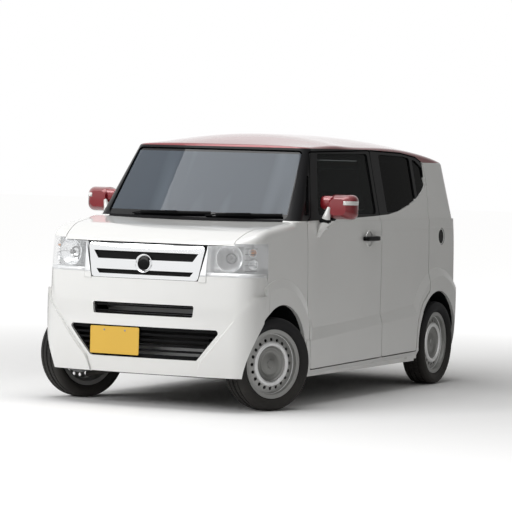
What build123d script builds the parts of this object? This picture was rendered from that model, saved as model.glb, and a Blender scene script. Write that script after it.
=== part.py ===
from build123d import *
import math
import os

# Kei car with a boxy cabin, five doors and right-hand drive.
# Frame: the front faces -Y, +X is the left side of the car, +Z is up.
# The origin is on the ground, in the middle of the length and the width.

# ---------------------------------------------------------------- overall sizes
length = 3395.0
width = 1475.0
height = 1670.0
wheelbase = 2520.0
front_overhang = 435.0
track = 1305.0

nose_y = -length / 2
tail_y = length / 2
front_axle_y = nose_y + front_overhang
rear_axle_y = front_axle_y + wheelbase
side_x = width / 2

# ---------------------------------------------------------------- wheels
tyre_radius = 281.0
tyre_width = 165.0
rim_radius = 208.0
seat_radius = 190.5
rim_width = 118.0
rest_steer = -24.0
kingpin_low_x = 600.0
kingpin_low_z = 170.0
kingpin_top_x = 470.0
kingpin_top_z = 840.0

# ---------------------------------------------------------------- body shell
shoulder_in = 18.5
panel_skin = 20.0
wall = 45.0
frame_depth = 85.0
shut_gap = 8.0
flange = 38.0
fit_gap = 0.3
glass_inset = 9.0
glass_thickness = 5.0
sill_z = 175.0
bumper_z = 400.0
waist_z = 760.0
lamp_z = 1000.0
belt_z = 1126.0
door_sill_z = 226.0
bonnet_round = 45.0
nose_corner = 145.0
roof_round = 30.0
arch_radius = 354.0
flare_radius = 505.0
flare_lip_radius = 430.0
well_in_x = 400.0
rear_well_in_x = 545.0
floor_z = 270.0
floor_thickness = 24.0
load_floor_z = 470.0
bulkhead_y = front_axle_y + 250.0
body_half = side_x - shoulder_in

# Side-view lines of the doors, measured from the axles.
door_front_low = front_axle_y + 407.0
door_front_belt = front_axle_y + 372.0
door_sash_low = front_axle_y + 462.0
door_sash_top = front_axle_y + 607.0
pillar_y = front_axle_y + 1527.0
door_rear_belt = rear_axle_y - 167.0
door_rear_top = rear_axle_y - 92.0
door_arch_radius = arch_radius + 46.0

# Plan sections of the lower body: height, nose setback, tail setback, side setback.
lower_columns = ("z", "nose", "tail", "side")
lower_table = [
    (sill_z, 42.0, 37.0, 19.0),
    (bumper_z, 4.2, 1.4, 3.0),
    (waist_z, 7.0, 9.0, 0.0),
    (lamp_z, 29.0, 17.0, 2.0),
    (belt_z + 54.0, 60.0, 26.0, 13.0),
]

# Crown of the roof: end it is measured from, distance, drop of the middle, drop of the side.
roof_columns = ("end", "run", "drop", "side")
roof_table = [
    (nose_y, 397.0, 250.0, 8.0),
    (nose_y, 697.0, 148.0, 10.0),
    (nose_y, 925.0, 82.0, 14.0),
    (nose_y, 1090.0, 50.0, 36.0),
    (nose_y, 1320.0, 17.0, 60.0),
    (nose_y, 1597.0, 1.2, 76.0),
    (tail_y, -1197.0, 1.2, 78.0),
    (tail_y, -697.0, 22.0, 78.0),
    (tail_y, -297.0, 68.0, 74.0),
    (tail_y, -97.0, 114.0, 66.0),
    (tail_y, 53.0, 170.0, 60.0),
]


def plan_face(z, nose, tail, half, bows, radii):
    """Closed plan outline with bowed sides and rounded corners."""
    nose_bow, tail_bow, side_bow = bows
    corner = half - side_bow
    with BuildSketch(Plane.XY.offset(z)) as plan:
        with BuildLine():
            front = ThreePointArc(
                (-corner, nose + nose_bow), (0, nose), (corner, nose + nose_bow))
            left = ThreePointArc(
                front @ 1, (half, (nose + tail) / 2), (corner, tail - tail_bow))
            rear = ThreePointArc(left @ 1, (0, tail), (-corner, tail - tail_bow))
            ThreePointArc(rear @ 1, (-half, (nose + tail) / 2), front @ 0)
        make_face()
        fillet(plan.vertices().group_by(Axis.Y)[0], radii[0])
        fillet(plan.vertices().sort_by(Axis.Y)[-2:], radii[1])
    return plan.sketch.face()


def lower_form(inset):
    """Body below the windows with the bonnet, moved inwards by an inset."""
    drop = min(inset, wall)
    with BuildPart() as lower:
        for z, nose, tail, side in lower_table:
            add(plan_face(
                z - (inset if z == sill_z else 0.0),
                nose_y + nose + inset,
                tail_y - tail - inset,
                body_half - side - inset,
                (70.0, 35.0, 12.0),
                (nose_corner - inset, 110.0 - inset * 0.8),
            ))
        loft()
        with BuildSketch(Plane.YZ):
            with BuildLine():
                deck = Line(
                    (nose_y + 620.0, belt_z - drop), (nose_y + 317.0, belt_z - 34.0 - drop))
                nose_arc = TangentArc(
                    deck @ 1, (nose_y - 30.0, 925.0 - drop), tangent=deck % 1)
                Polyline(
                    nose_arc @ 1,
                    (nose_y - 30.0, 50.0),
                    (tail_y + 50.0, 50.0),
                    (tail_y + 50.0, belt_z - drop),
                    deck @ 0,
                )
            make_face()
        extrude(amount=width, both=True, mode=Mode.INTERSECT)
        if inset < 10.0:
            shoulder = lower.edges().filter_by(
                lambda e: e.center().Z > 930.0 and e.center().Z < belt_z - 2.0
                and e.center().Y < nose_y + 600.0 and e.bounding_box().size.Y > 1.0)
            fillet(shoulder, bonnet_round - inset)
    return lower.part


def crown_form(inset):
    """Bowed top of the roof over the whole width."""
    with BuildPart() as crown:
        for end, run, drop, side in roof_table:
            mid = height - drop - inset
            with BuildSketch(Plane.XZ.offset(-end - run)):
                with BuildLine():
                    top = ThreePointArc(
                        (-900.0, mid - side * 2.25), (0, mid), (900.0, mid - side * 2.25))
                    Polyline(top @ 1, (900.0, 900.0), (-900.0, 900.0), top @ 0)
                make_face()
        loft()
    return crown.part


def cabin_form(inset):
    """Glasshouse and roof, moved inwards by an inset."""
    with BuildPart() as cabin:
        add(plan_face(
            1060.0, nose_y + 554.0 + inset * 1.2, tail_y - 23.0 - inset,
            body_half - 3.5 - inset,
            (95.0, 35.0, 12.0), (90.0 - inset * 0.9, 110.0 - inset)))
        add(plan_face(
            1700.0, nose_y + 1022.0 + inset * 1.2, tail_y - 98.0 - inset,
            body_half - 137.0 - inset,
            (85.0, 35.0, 12.0), (90.0 - inset * 0.9, 100.0 - inset)))
        loft(ruled=True)
        add(crown_form(inset), mode=Mode.INTERSECT)
        if inset < 10.0:
            fillet(cabin.faces().sort_by(Axis.Z)[-1].edges(), roof_round - inset)
    return cabin.part


def body_form(inset):
    """Whole closed body, moved inwards by an inset."""
    with BuildPart() as form:
        add(lower_form(inset))
        add(cabin_form(inset))
    return form.part


def side_zone(points, grow=0.0, round_r=0.0, reach=(300.0, 900.0), swing=0.0):
    """Prism across the left side from a side-view outline of (y, z) points."""
    with BuildPart() as zone:
        with BuildSketch(Plane.YZ.offset(reach[0])) as outline:
            with BuildLine():
                Polyline(*points, close=True)
            make_face()
            if round_r > 0.0:
                fillet(outline.vertices(), round_r)
            if grow != 0.0:
                offset(amount=grow, kind=Kind.INTERSECTION)
            if swing > 0.0:
                grown = outline.sketch_local
                with Locations((swing, 0.0)):
                    add(grown)
        extrude(amount=reach[1] - reach[0])
    return zone.part


def box_zone(x0, x1, y0, y1, z0, z1):
    """Plain box between two corners."""
    with BuildPart() as zone:
        with Locations(((x0 + x1) / 2, (y0 + y1) / 2, (z0 + z1) / 2)):
            Box(x1 - x0, y1 - y0, z1 - z0)
    return zone.part


def disc_zone(y, z, radius, x0, x1):
    """Cylinder across the car about an axle line."""
    with BuildPart() as zone:
        with BuildSketch(Plane.YZ.offset(x0)):
            with Locations((y, z)):
                Circle(radius)
        extrude(amount=x1 - x0)
    return zone.part


def common(*shapes):
    """Material that all the shapes share."""
    with BuildPart() as piece:
        add(shapes[0])
        for shape in shapes[1:]:
            add(shape, mode=Mode.INTERSECT)
    return piece.part


def less(base, *cuts):
    """Base with the cuts taken away."""
    with BuildPart() as piece:
        add(base)
        for cut in cuts:
            add(cut, mode=Mode.SUBTRACT)
    return piece.part


def joined(*shapes):
    """One solid from pieces that meet."""
    with BuildPart() as piece:
        for shape in shapes:
            add(shape)
    return piece.part


def flipped(shape):
    """Same shape on the right side."""
    with BuildPart() as piece:
        mirror(shape, about=Plane.YZ, mode=Mode.ADD)
    return piece.part


# ---------------------------------------------------------------- body forms
form_out = body_form(0.0)
form_skin = body_form(panel_skin)
form_wall = body_form(wall)
form_deep = body_form(frame_depth)
room = body_form(wall + fit_gap)
cabin_room = body_form(frame_depth + fit_gap)
form_glass = cabin_form(glass_inset)
form_pane = cabin_form(glass_inset + glass_thickness)
flare_depth = 18.0
flare_limit = lower_form(-flare_depth)


def flare(axle_y):
    """Raised ring round a wheel arch."""
    with BuildPart() as ring:
        with BuildSketch(Plane.YZ.offset(body_half - wall)):
            with Locations((axle_y, tyre_radius)):
                Circle(flare_radius + 30.0)
        with BuildSketch(Plane.YZ.offset(body_half - 4.0)):
            with Locations((axle_y, tyre_radius)):
                Circle(flare_radius + 5.0)
        with BuildSketch(Plane.YZ.offset(body_half + flare_depth)):
            with Locations((axle_y, tyre_radius)):
                Circle(flare_lip_radius)
        loft(ruled=True)
        add(flare_limit, mode=Mode.INTERSECT)
    return ring.part


corner_run = 216.0
flare_front = less(
    flare(front_axle_y),
    box_zone(0.0, 900.0, nose_y - 200.0, nose_y + corner_run, 0.0, 1000.0))
flare_rear = flare(rear_axle_y)

# Side band below the doors, rising to the rear.
ledge_rise = 93.0 / 1740.0
with BuildPart() as band:
    with BuildSketch(Plane.XZ.offset(-door_front_low + 60.0)):
        with BuildLine():
            Polyline(
                (body_half - wall, 190.0),
                (body_half - 4.0, 190.0),
                (side_x - 2.0, 225.0),
                (side_x - 2.0, 395.0),
                (body_half - 4.0, 468.0),
                (body_half - wall, 468.0),
                close=True,
            )
        make_face()
    with BuildSketch(Plane.XZ.offset(-rear_axle_y)):
        with BuildLine():
            Polyline(
                (body_half - wall, 215.0),
                (body_half - 4.0, 215.0),
                (side_x - 2.0, 250.0),
                (side_x - 2.0, 505.0),
                (body_half - 4.0, 584.0),
                (body_half - wall, 584.0),
                close=True,
            )
        make_face()
    loft(ruled=True)

# Raised corner of the front bumper, from the lower intake out to the wheel arch.
wing_edge = [
    (350.0, 150.0), (384.0, 300.0), (541.0, 484.0), (640.0, 596.0), (712.0, 690.0),
    (830.0, 720.0), (830.0, 150.0),
]
with BuildPart() as wing:
    with BuildSketch(Plane.XZ.offset(-nose_y - corner_run)):
        with BuildLine():
            Polyline(*wing_edge, close=True)
        make_face()
    extrude(amount=corner_run - 30.0)
    with BuildSketch(Plane.XZ.offset(-nose_y - 30.0)):
        with BuildLine():
            Polyline(*wing_edge, close=True)
        make_face()
    with BuildSketch(Plane.XZ.offset(-nose_y + flare_depth)):
        with BuildLine():
            Polyline(*[(x + 34.0, z - (14.0 if z > 200.0 else 0.0)) for x, z in wing_edge], close=True)
        make_face()
    loft(ruled=True)
    add(flare_limit, mode=Mode.INTERSECT)

raised_left = joined(flare_front, flare_rear, band.part, wing.part)
left_half = box_zone(0.0, side_x + 100.0, nose_y - 50.0, tail_y + 50.0, 50.0, height + 50.0)
body_left = common(joined(form_out, raised_left), left_half)
body_all = joined(body_left, flipped(body_left))
wells_left = [
    disc_zone(front_axle_y, tyre_radius, arch_radius, well_in_x, 900.0),
    disc_zone(rear_axle_y, tyre_radius, arch_radius, rear_well_in_x, 900.0),
]

# ---------------------------------------------------------------- side outlines
door_bottom_rise = 24.0
mid_sill = door_sill_z + door_bottom_rise * 0.65
rear_sill = door_sill_z + door_bottom_rise
arch_meet = math.sqrt(door_arch_radius ** 2 - (tyre_radius - rear_sill) ** 2)
arch_top = math.sqrt(door_arch_radius ** 2 - (rear_axle_y - door_rear_belt) ** 2)
arch_knee = door_arch_radius * math.sqrt(0.5)

front_door_points = [
    (door_front_low, door_sill_z),
    (door_front_belt, belt_z - 16.0),
    (door_sash_low, belt_z + 28.0),
    (door_sash_top, height - 118.0),
    (pillar_y - shut_gap / 2, height - 98.0),
    (pillar_y - shut_gap / 2, mid_sill),
]
rear_door_points = [
    (pillar_y + shut_gap / 2, mid_sill),
    (pillar_y + shut_gap / 2, height - 98.0),
    (rear_axle_y - 470.0, height - 110.0),
    (rear_axle_y - 210.0, height - 136.0),
    (door_rear_top, height - 178.0),
    (door_rear_top + 4.0, height - 320.0),
    (door_rear_belt, belt_z - 40.0),
    (door_rear_belt, tyre_radius + arch_top),
    (rear_axle_y - arch_knee * 1.02, tyre_radius + arch_knee * 1.02),
    (rear_axle_y - door_arch_radius * 0.93, tyre_radius + door_arch_radius * 0.42),
    (rear_axle_y - arch_meet, rear_sill),
]
front_window_points = [
    (door_sash_low + 112.0, belt_z + 40.0),
    (door_sash_top + 100.0, height - 124.0),
    (pillar_y - 48.0, height - 116.0),
    (pillar_y - 48.0, belt_z + 40.0),
]
rear_window_points = [
    (pillar_y + 135.0, belt_z + 46.0),
    (pillar_y + 135.0, height - 118.0),
    (rear_axle_y - 425.0, height - 128.0),
    (rear_axle_y - 330.0, height - 138.0),
    (rear_axle_y - 330.0, belt_z + 128.0),
    (rear_axle_y - 520.0, belt_z + 82.0),
    (rear_axle_y - 660.0, belt_z + 54.0),
]
quarter_window_points = [
    (rear_axle_y - 285.0, belt_z + 140.0),
    (rear_axle_y - 285.0, height - 144.0),
    (rear_axle_y - 225.0, height - 154.0),
    (rear_axle_y - 125.0, height - 200.0),
    (rear_axle_y - 118.0, height - 320.0),
    (rear_axle_y - 160.0, belt_z + 196.0),
]
sash_points = [
    (door_sash_low - 90.0, belt_z + 40.0),
    (door_sash_low - 24.0, belt_z + 40.0),
    (door_sash_top - 30.0, height - 150.0),
]


def door_panel(points, windows):
    """Door as thick as its wall, narrower inside than outside."""
    outer_zone = side_zone(points, round_r=18.0)
    inner_zone = side_zone(points, round_r=18.0, grow=-10.0)
    rebate = common(less(outer_zone, inner_zone), form_skin)
    glass_holes = [side_zone(w, round_r=22.0) for w in windows]
    return less(common(body_left, outer_zone), form_wall, rebate, *glass_holes)


front_door = door_panel(front_door_points, [front_window_points])
rear_door = door_panel(rear_door_points, [rear_window_points, quarter_window_points])


def cross_zone(points, grow=0.0, round_r=0.0, reach=(0.0, 900.0)):
    """Prism along the car from a front-view outline of (x, z) points."""
    with BuildPart() as zone:
        with BuildSketch(Plane.XZ.offset(-reach[1])) as outline:
            with BuildLine():
                Polyline(*points, close=True)
            make_face()
            if round_r > 0.0:
                fillet(outline.vertices(), round_r)
            if grow != 0.0:
                offset(amount=grow, kind=Kind.INTERSECTION)
        extrude(amount=reach[1] - reach[0])
    return zone.part


def plan_zone(points, grow=0.0, reach=(0.0, 1800.0)):
    """Upright prism from a plan outline of (x, y) points."""
    with BuildPart() as zone:
        with BuildSketch(Plane.XY.offset(reach[0])):
            with BuildLine():
                Polyline(*points, close=True)
            make_face()
            if grow != 0.0:
                offset(amount=grow, kind=Kind.INTERSECTION)
        extrude(amount=reach[1] - reach[0])
    return zone.part


def two_sided(points):
    """Full outline from its left half, given as (x, z) from bottom to top."""
    return points + [(-x, z) for x, z in reversed(points)]


wide = (-side_x - 60.0, side_x + 60.0)
lamp_low_z = 826.0
lamp_top_z = 1003.0
lamp_in_x = 405.0
lamp_rear_y = nose_y + 254.0
grille_low_z = 772.0
bonnet_lip_z = 990.0
rear_bumper_top_z = 560.0
tail_lamp_in_x = 585.0
tail_lamp_low_z = 690.0
tail_lamp_top_z = 1060.0
tail_lamp_front_y = tail_y - 110.0
hatch_top_z = height - 170.0

front_zone = side_zone([
    (nose_y - 50.0, 100.0),
    (door_front_low - shut_gap, 100.0),
    (door_front_low - shut_gap, door_sill_z),
    (door_front_belt - shut_gap, belt_z - 16.0),
    (door_front_belt - shut_gap, belt_z + 3.0),
    (nose_y - 50.0, belt_z + 3.0),
], reach=wide)
bumper_zone = side_zone([
    (nose_y - 50.0, 205.0),
    (front_axle_y, 205.0),
    (front_axle_y, tyre_radius),
    (front_axle_y - 250.0, tyre_radius + 250.0),
    (lamp_rear_y, lamp_low_z),
    (nose_y - 50.0, lamp_low_z),
], reach=wide)
lamp_zone = side_zone([
    (nose_y - 50.0, lamp_low_z),
    (lamp_rear_y, lamp_low_z),
    (lamp_rear_y, lamp_top_z),
    (nose_y - 50.0, lamp_top_z),
], reach=(lamp_in_x, side_x + 60.0))
grille_zone = box_zone(
    -lamp_in_x, lamp_in_x, nose_y - 50.0, nose_y + 110.0, grille_low_z, bonnet_lip_z)


def bonnet_prism(grow, low, rear_shift):
    """Upright prism on the bonnet's plan outline, bowed at the windscreen."""
    with BuildPart() as prism:
        with BuildSketch(Plane.XY.offset(low)):
            with BuildLine():
                rear = ThreePointArc(
                    (-650.0 - grow, nose_y + 636.0 + rear_shift),
                    (0.0, nose_y + 557.0 + rear_shift),
                    (650.0 + grow, nose_y + 636.0 + rear_shift),
                )
                Polyline(
                    rear @ 1,
                    (605.0 + grow, nose_y + 300.0),
                    (545.0 + grow, nose_y - 40.0),
                    (-545.0 - grow, nose_y - 40.0),
                    (-605.0 - grow, nose_y + 300.0),
                    rear @ 0,
                )
            make_face()
        extrude(amount=belt_z + 30.0 - low)
    return prism.part


bonnet_zone = bonnet_prism(0.0, bonnet_lip_z, 0.0)
bonnet_gap_zone = bonnet_prism(shut_gap * 0.6, bonnet_lip_z - 6.0, 15.0)
screen_low_z = belt_z + 12.0
cowl_zone = less(
    box_zone(-600.0, 600.0, nose_y + 500.0, door_front_belt - 30.0, belt_z - 60.0, screen_low_z),
    bonnet_gap_zone)
rear_bumper_zone = side_zone([
    (rear_axle_y, 205.0),
    (tail_y + 50.0, 205.0),
    (tail_y + 50.0, rear_bumper_top_z),
    (rear_axle_y + 215.0, rear_bumper_top_z),
    (rear_axle_y, tyre_radius),
], reach=wide)
tail_lamp_zone = box_zone(
    tail_lamp_in_x, side_x + 60.0, tail_lamp_front_y, tail_y + 50.0,
    tail_lamp_low_z, tail_lamp_top_z)
hatch_points = two_sided([
    (tail_lamp_in_x - shut_gap, rear_bumper_top_z + shut_gap),
    (tail_lamp_in_x - shut_gap, tail_lamp_top_z),
    (tail_lamp_in_x - 50.0, hatch_top_z),
])
hatch_reach = (tail_y - 330.0, tail_y + 60.0)
hatch_zone = cross_zone(hatch_points, round_r=20.0, reach=hatch_reach)
hatch_gap_zone = cross_zone(hatch_points, round_r=20.0, grow=shut_gap, reach=hatch_reach)
hatch_hole = cross_zone(hatch_points, round_r=20.0, grow=-flange, reach=hatch_reach)
hatch_window = cross_zone(two_sided([
    (tail_lamp_in_x - 70.0, belt_z + 35.0),
    (tail_lamp_in_x - 105.0, hatch_top_z - 55.0),
]), round_r=40.0, reach=hatch_reach)
# room that the tailgate's upper lip needs as it swings about its hinge line
hatch_hinge_y = tail_y - 69.5
hatch_hinge_z = hatch_top_z + 2.5
hatch_lip = 224.0
with BuildPart() as hatch_sweep:
    with BuildSketch(Plane.YZ.offset(-tail_lamp_in_x + 20.0)):
        with Locations((hatch_hinge_y, hatch_hinge_z)):
            Circle(hatch_lip)
    extrude(amount=2 * (tail_lamp_in_x - 20.0))
screen_points = two_sided([
    (622.0, screen_low_z),
    (570.0, height - 106.0),
])
screen_zone = cross_zone(
    screen_points, round_r=30.0, reach=(nose_y + 500.0, front_axle_y + 700.0))
roof_line = [
    (nose_y + 800.0, height - 92.0),
    (front_axle_y + 560.0, height - 92.0),
    (pillar_y, height - 88.0),
    (rear_axle_y - 470.0, height - 100.0),
    (rear_axle_y - 210.0, height - 125.0),
    (door_rear_top, height - 165.0),
    (tail_y + 60.0, height - 165.0),
    (tail_y + 60.0, height + 60.0),
    (nose_y + 800.0, height + 60.0),
]
roof_zone = side_zone(roof_line, reach=wide)

# ---------------------------------------------------------------- fixed panels
roof_panel = less(common(body_all, roof_zone), form_wall)
bonnet = less(common(body_all, bonnet_zone), form_skin)
fender_zone = less(
    front_zone, bonnet_gap_zone, bumper_zone, wells_left[0], cowl_zone,
    box_zone(-900.0, 900.0, nose_y - 60.0, lamp_rear_y, 0.0, lamp_top_z),
    box_zone(-900.0, 0.0, nose_y - 60.0, 0.0, 0.0, height))
fender_left = less(common(body_left, fender_zone), form_skin)
intake_reach = (nose_y - 60.0, nose_y + 250.0)
intake_low = cross_zone(
    two_sided([(358.0, 300.0), (515.0, 488.0)]), round_r=18.0, reach=intake_reach)
intake_slot = cross_zone(
    two_sided([(333.0, 556.0), (340.0, 626.0)]), round_r=12.0, reach=intake_reach)
front_bumper = less(
    common(body_all, bumper_zone), form_wall, grille_zone, intake_low, intake_slot,
    wells_left[0], flipped(wells_left[0]))
headlamp_left = less(common(body_left, lamp_zone), form_deep, bonnet_gap_zone)
rear_bumper = less(
    common(body_all, rear_bumper_zone), form_wall, wells_left[1], flipped(wells_left[1]))
tail_lamp_left = less(common(body_left, tail_lamp_zone), form_wall)
door_recesses = [
    less(side_zone(front_door_points, round_r=18.0, grow=shut_gap, swing=3.0), room),
    less(side_zone(rear_door_points, round_r=18.0, grow=shut_gap, swing=4.0), room),
]
hatches = [
    side_zone(front_door_points, round_r=18.0, grow=-flange),
    side_zone(rear_door_points, round_r=18.0, grow=-flange),
]
body_side_left = less(
    body_left, front_zone, roof_zone, rear_bumper_zone, tail_lamp_zone,
    less(hatch_gap_zone, room), hatch_hole, hatch_sweep.part, screen_zone, cowl_zone, *wells_left, *hatches,
    form_deep, *door_recesses)
tailgate = less(common(body_all, hatch_zone), form_wall, hatch_window, roof_zone)
cowl = less(common(body_all, cowl_zone), form_skin)

# ---------------------------------------------------------------- fuel lid
lid_y = rear_axle_y + 72.0
lid_z = 1005.0
lid_radius = 57.0
lid_thickness = glass_inset
lid_gap = 0.8
lid_back_x = body_half - 20.0
pocket_x = body_half - 60.0
body_side_left = less(
    body_side_left,
    disc_zone(lid_y, lid_z, lid_radius + lid_gap, pocket_x, 800.0),
    side_zone(sash_points, round_r=10.0))
fuel_lid = common(form_out, disc_zone(lid_y, lid_z, lid_radius, lid_back_x, 800.0))

# ---------------------------------------------------------------- glass
def pane(zone):
    """Thin sheet of the body form inside an opening."""
    return less(common(form_glass, zone), form_pane)


windscreen = pane(cross_zone(
    screen_points, round_r=30.0, grow=-fit_gap,
    reach=(nose_y + 500.0, front_axle_y + 700.0)))
glass_front_left = pane(side_zone(front_window_points, round_r=22.0, grow=-fit_gap))
glass_rear_left = pane(side_zone(rear_window_points, round_r=22.0, grow=-fit_gap))
glass_quarter_left = pane(side_zone(quarter_window_points, round_r=22.0, grow=-fit_gap))
hatch_glass = pane(cross_zone(two_sided([
    (tail_lamp_in_x - 70.0, belt_z + 35.0),
    (tail_lamp_in_x - 105.0, hatch_top_z - 55.0),
]), round_r=40.0, grow=-fit_gap, reach=hatch_reach))
sash_glass_left = pane(side_zone(sash_points, round_r=10.0, grow=-fit_gap))

# ---------------------------------------------------------------- front grille and intakes
grille_half = 394.0
grille_base = grille_low_z + 2.0
grille_top = bonnet_lip_z - 10.0
grille_openings = [
    [(-318.0, 886.0), (-352.0, 934.0), (352.0, 934.0), (318.0, 886.0)],
    [(-305.0, 797.0), (-326.0, 824.0), (326.0, 824.0), (305.0, 797.0)],
]
with BuildPart() as grille_ring:
    with BuildSketch(Plane.XZ.offset(-nose_y - 120.0)) as ring_face:
        with BuildLine():
            Polyline(
                (-grille_half + 38.0, grille_base), (-grille_half, grille_top),
                (grille_half, grille_top), (grille_half - 38.0, grille_base), close=True)
        make_face()
        fillet(ring_face.vertices(), 22.0)
        for corners in grille_openings:
            with BuildLine():
                Polyline(*corners, close=True)
            make_face(mode=Mode.SUBTRACT)
    extrude(amount=200.0)
chrome_grille = less(common(form_out, grille_ring.part), form_skin)
grille_mesh = less(common(form_skin, grille_zone), form_wall)


def slatted(zone_points, count, slat, round_r):
    """Recessed grille with level slats inside an intake."""
    low = zone_points[0][1]
    high = zone_points[1][1]
    pitch = (high - low) / count
    opening = cross_zone(
        two_sided(zone_points), round_r=round_r, grow=-fit_gap, reach=intake_reach)
    core = cross_zone(
        two_sided(zone_points), round_r=round_r, grow=-10.0, reach=intake_reach)
    slats = [
        box_zone(-600.0, 600.0, intake_reach[0], intake_reach[1],
                 low + pitch * (i + 0.5) - slat / 2, low + pitch * (i + 0.5) + slat / 2)
        for i in range(count)
    ]
    layer = less(common(form_skin, opening), form_wall)
    return less(layer, less(core, *slats))


grille_lower = slatted([(358.0, 300.0), (515.0, 488.0)], 6, 12.0, 18.0)
grille_slot = slatted([(333.0, 556.0), (340.0, 626.0)], 2, 8.0, 12.0)

# ---------------------------------------------------------------- plates
plate_width = 330.0
plate_height = 165.0
plate_thickness = 3.0
plate_x = -180.0
plate_z = 397.0
with BuildPart() as front_plate:
    with BuildSketch(Plane.XZ.offset(-nose_y - 4.0 - plate_thickness)):
        with Locations((plate_x, plate_z)):
            RectangleRounded(plate_width, plate_height, 8.0)
    extrude(amount=plate_thickness)
    with BuildSketch(Plane.XZ.offset(-nose_y - 4.0 - plate_thickness)):
        with Locations((plate_x, plate_z)):
            Rectangle(plate_width * 0.7, 40.0)
    extrude(amount=-60.0)
    add(lower_form(panel_skin - fit_gap), mode=Mode.SUBTRACT)
rear_plate_z = 900.0
with BuildPart() as rear_plate:
    with BuildSketch(Plane.XZ.offset(-tail_y)):
        with Locations((0.0, rear_plate_z)):
            RectangleRounded(plate_width, plate_height, 8.0)
    extrude(amount=plate_thickness)
    with BuildSketch(Plane.XZ.offset(-tail_y)):
        with Locations((0.0, rear_plate_z)):
            Rectangle(plate_width * 0.7, 40.0)
    extrude(amount=60.0)
    add(lower_form(-fit_gap), mode=Mode.SUBTRACT)

# ---------------------------------------------------------------- underbody
rail_x = 360.0
rail_half = 30.0
rail_low_z = 380.0
rail_top_z = 460.0
load_step_y = rear_axle_y - 370.0
beam_y = nose_y + 120.0
with BuildPart() as underbody:
    for x0, x1, y0, y1, z0, z1 in (
        (-800.0, 800.0, bulkhead_y - 12.0, load_step_y, floor_z - floor_thickness, floor_z),
        (-800.0, 800.0, bulkhead_y - 12.0, bulkhead_y, floor_z - floor_thickness, belt_z - 62.0),
        (-800.0, 800.0, load_step_y - 12.0, load_step_y, floor_z - floor_thickness, load_floor_z),
        (-800.0, 800.0, load_step_y - 12.0, tail_y, load_floor_z - floor_thickness, load_floor_z),
        (-rail_x - rail_half, -rail_x + rail_half, beam_y, bulkhead_y - 6.0, rail_low_z, rail_top_z),
        (rail_x - rail_half, rail_x + rail_half, beam_y, bulkhead_y - 6.0, rail_low_z, rail_top_z),
        (-560.0, 560.0, beam_y, beam_y + 40.0, rail_low_z, rail_top_z),
    ):
        add(box_zone(x0, x1, y0, y1, z0, z1))
    add(cabin_room, mode=Mode.INTERSECT)
    for well in wells_left:
        add(well, mode=Mode.SUBTRACT)
        add(flipped(well), mode=Mode.SUBTRACT)
floor_pan = underbody.part

liner_thickness = 4.0


def liner(axle_y, in_x):
    """Half-round wheel house with its inner wall."""
    outer = disc_zone(axle_y, tyre_radius, arch_radius - fit_gap, in_x + fit_gap, body_half - 8.0)
    hollow = disc_zone(
        axle_y, tyre_radius, arch_radius - fit_gap - liner_thickness,
        in_x + fit_gap + liner_thickness, 900.0)
    low = box_zone(0.0, 900.0, axle_y - 500.0, axle_y + 500.0, 0.0, floor_z - 30.0)
    axle_gate = box_zone(0.0, in_x + 20.0, axle_y - 130.0, axle_y + 130.0, 0.0, 430.0)
    return less(common(outer, form_out), hollow, low, axle_gate)


arch_liner_front = liner(front_axle_y, well_in_x)
arch_liner_rear = liner(rear_axle_y, rear_well_in_x)

engine_half = rail_x - rail_half - fit_gap
engine = less(
    box_zone(-engine_half, engine_half, nose_y + 190.0, bulkhead_y - 60.0, 200.0, 900.0),
    box_zone(-900.0, 900.0, front_axle_y - 60.0 - fit_gap, front_axle_y + 60.0 + fit_gap,
             0.0, 238.0 + fit_gap))
tank_half = 330.0
with BuildPart() as fuel_tank:
    with BuildSketch(Plane.XY.offset(178.0)):
        with Locations((0.0, -60.0)):
            RectangleRounded(2 * tank_half, 560.0, 60.0)
    extrude(amount=floor_z - floor_thickness - fit_gap - 178.0)

# ---------------------------------------------------------------- suspension
kingpin_run = (kingpin_low_x - kingpin_top_x) / (kingpin_top_z - kingpin_low_z)
pivot_x = kingpin_low_x - kingpin_run * (tyre_radius - kingpin_low_z)
hub_offset = track / 2 - pivot_x
steer = math.radians(rest_steer)
strut_radius = 25.0
stub_radius = 28.0


def hub_plane(side, front):
    """Wheel plane at a hub, its Z along the axle and out of the car."""
    if not front:
        return Plane(
            origin=(side * track / 2, rear_axle_y, tyre_radius),
            x_dir=(0, 0, 1), z_dir=(side, 0, 0))
    return Plane(
        origin=(
            side * (pivot_x + hub_offset * math.cos(steer)),
            front_axle_y + side * hub_offset * math.sin(steer),
            tyre_radius,
        ),
        x_dir=(0, 0, 1),
        z_dir=(side * math.cos(steer), side * math.sin(steer), 0),
    )


def axle_section(hub):
    """Plane through the axle, X along it and Y upwards."""
    return Plane(origin=hub.origin, x_dir=hub.z_dir, z_dir=hub.z_dir.cross(Vector(0, 0, 1)))


def turned(hub, points):
    """Body of revolution about the axle from (along, radius) points."""
    with BuildPart() as body:
        with BuildSketch(axle_section(hub)):
            with BuildLine():
                Polyline(*points, close=True)
            make_face()
        revolve(axis=Axis(hub.origin, hub.z_dir))
    return body.part


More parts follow.
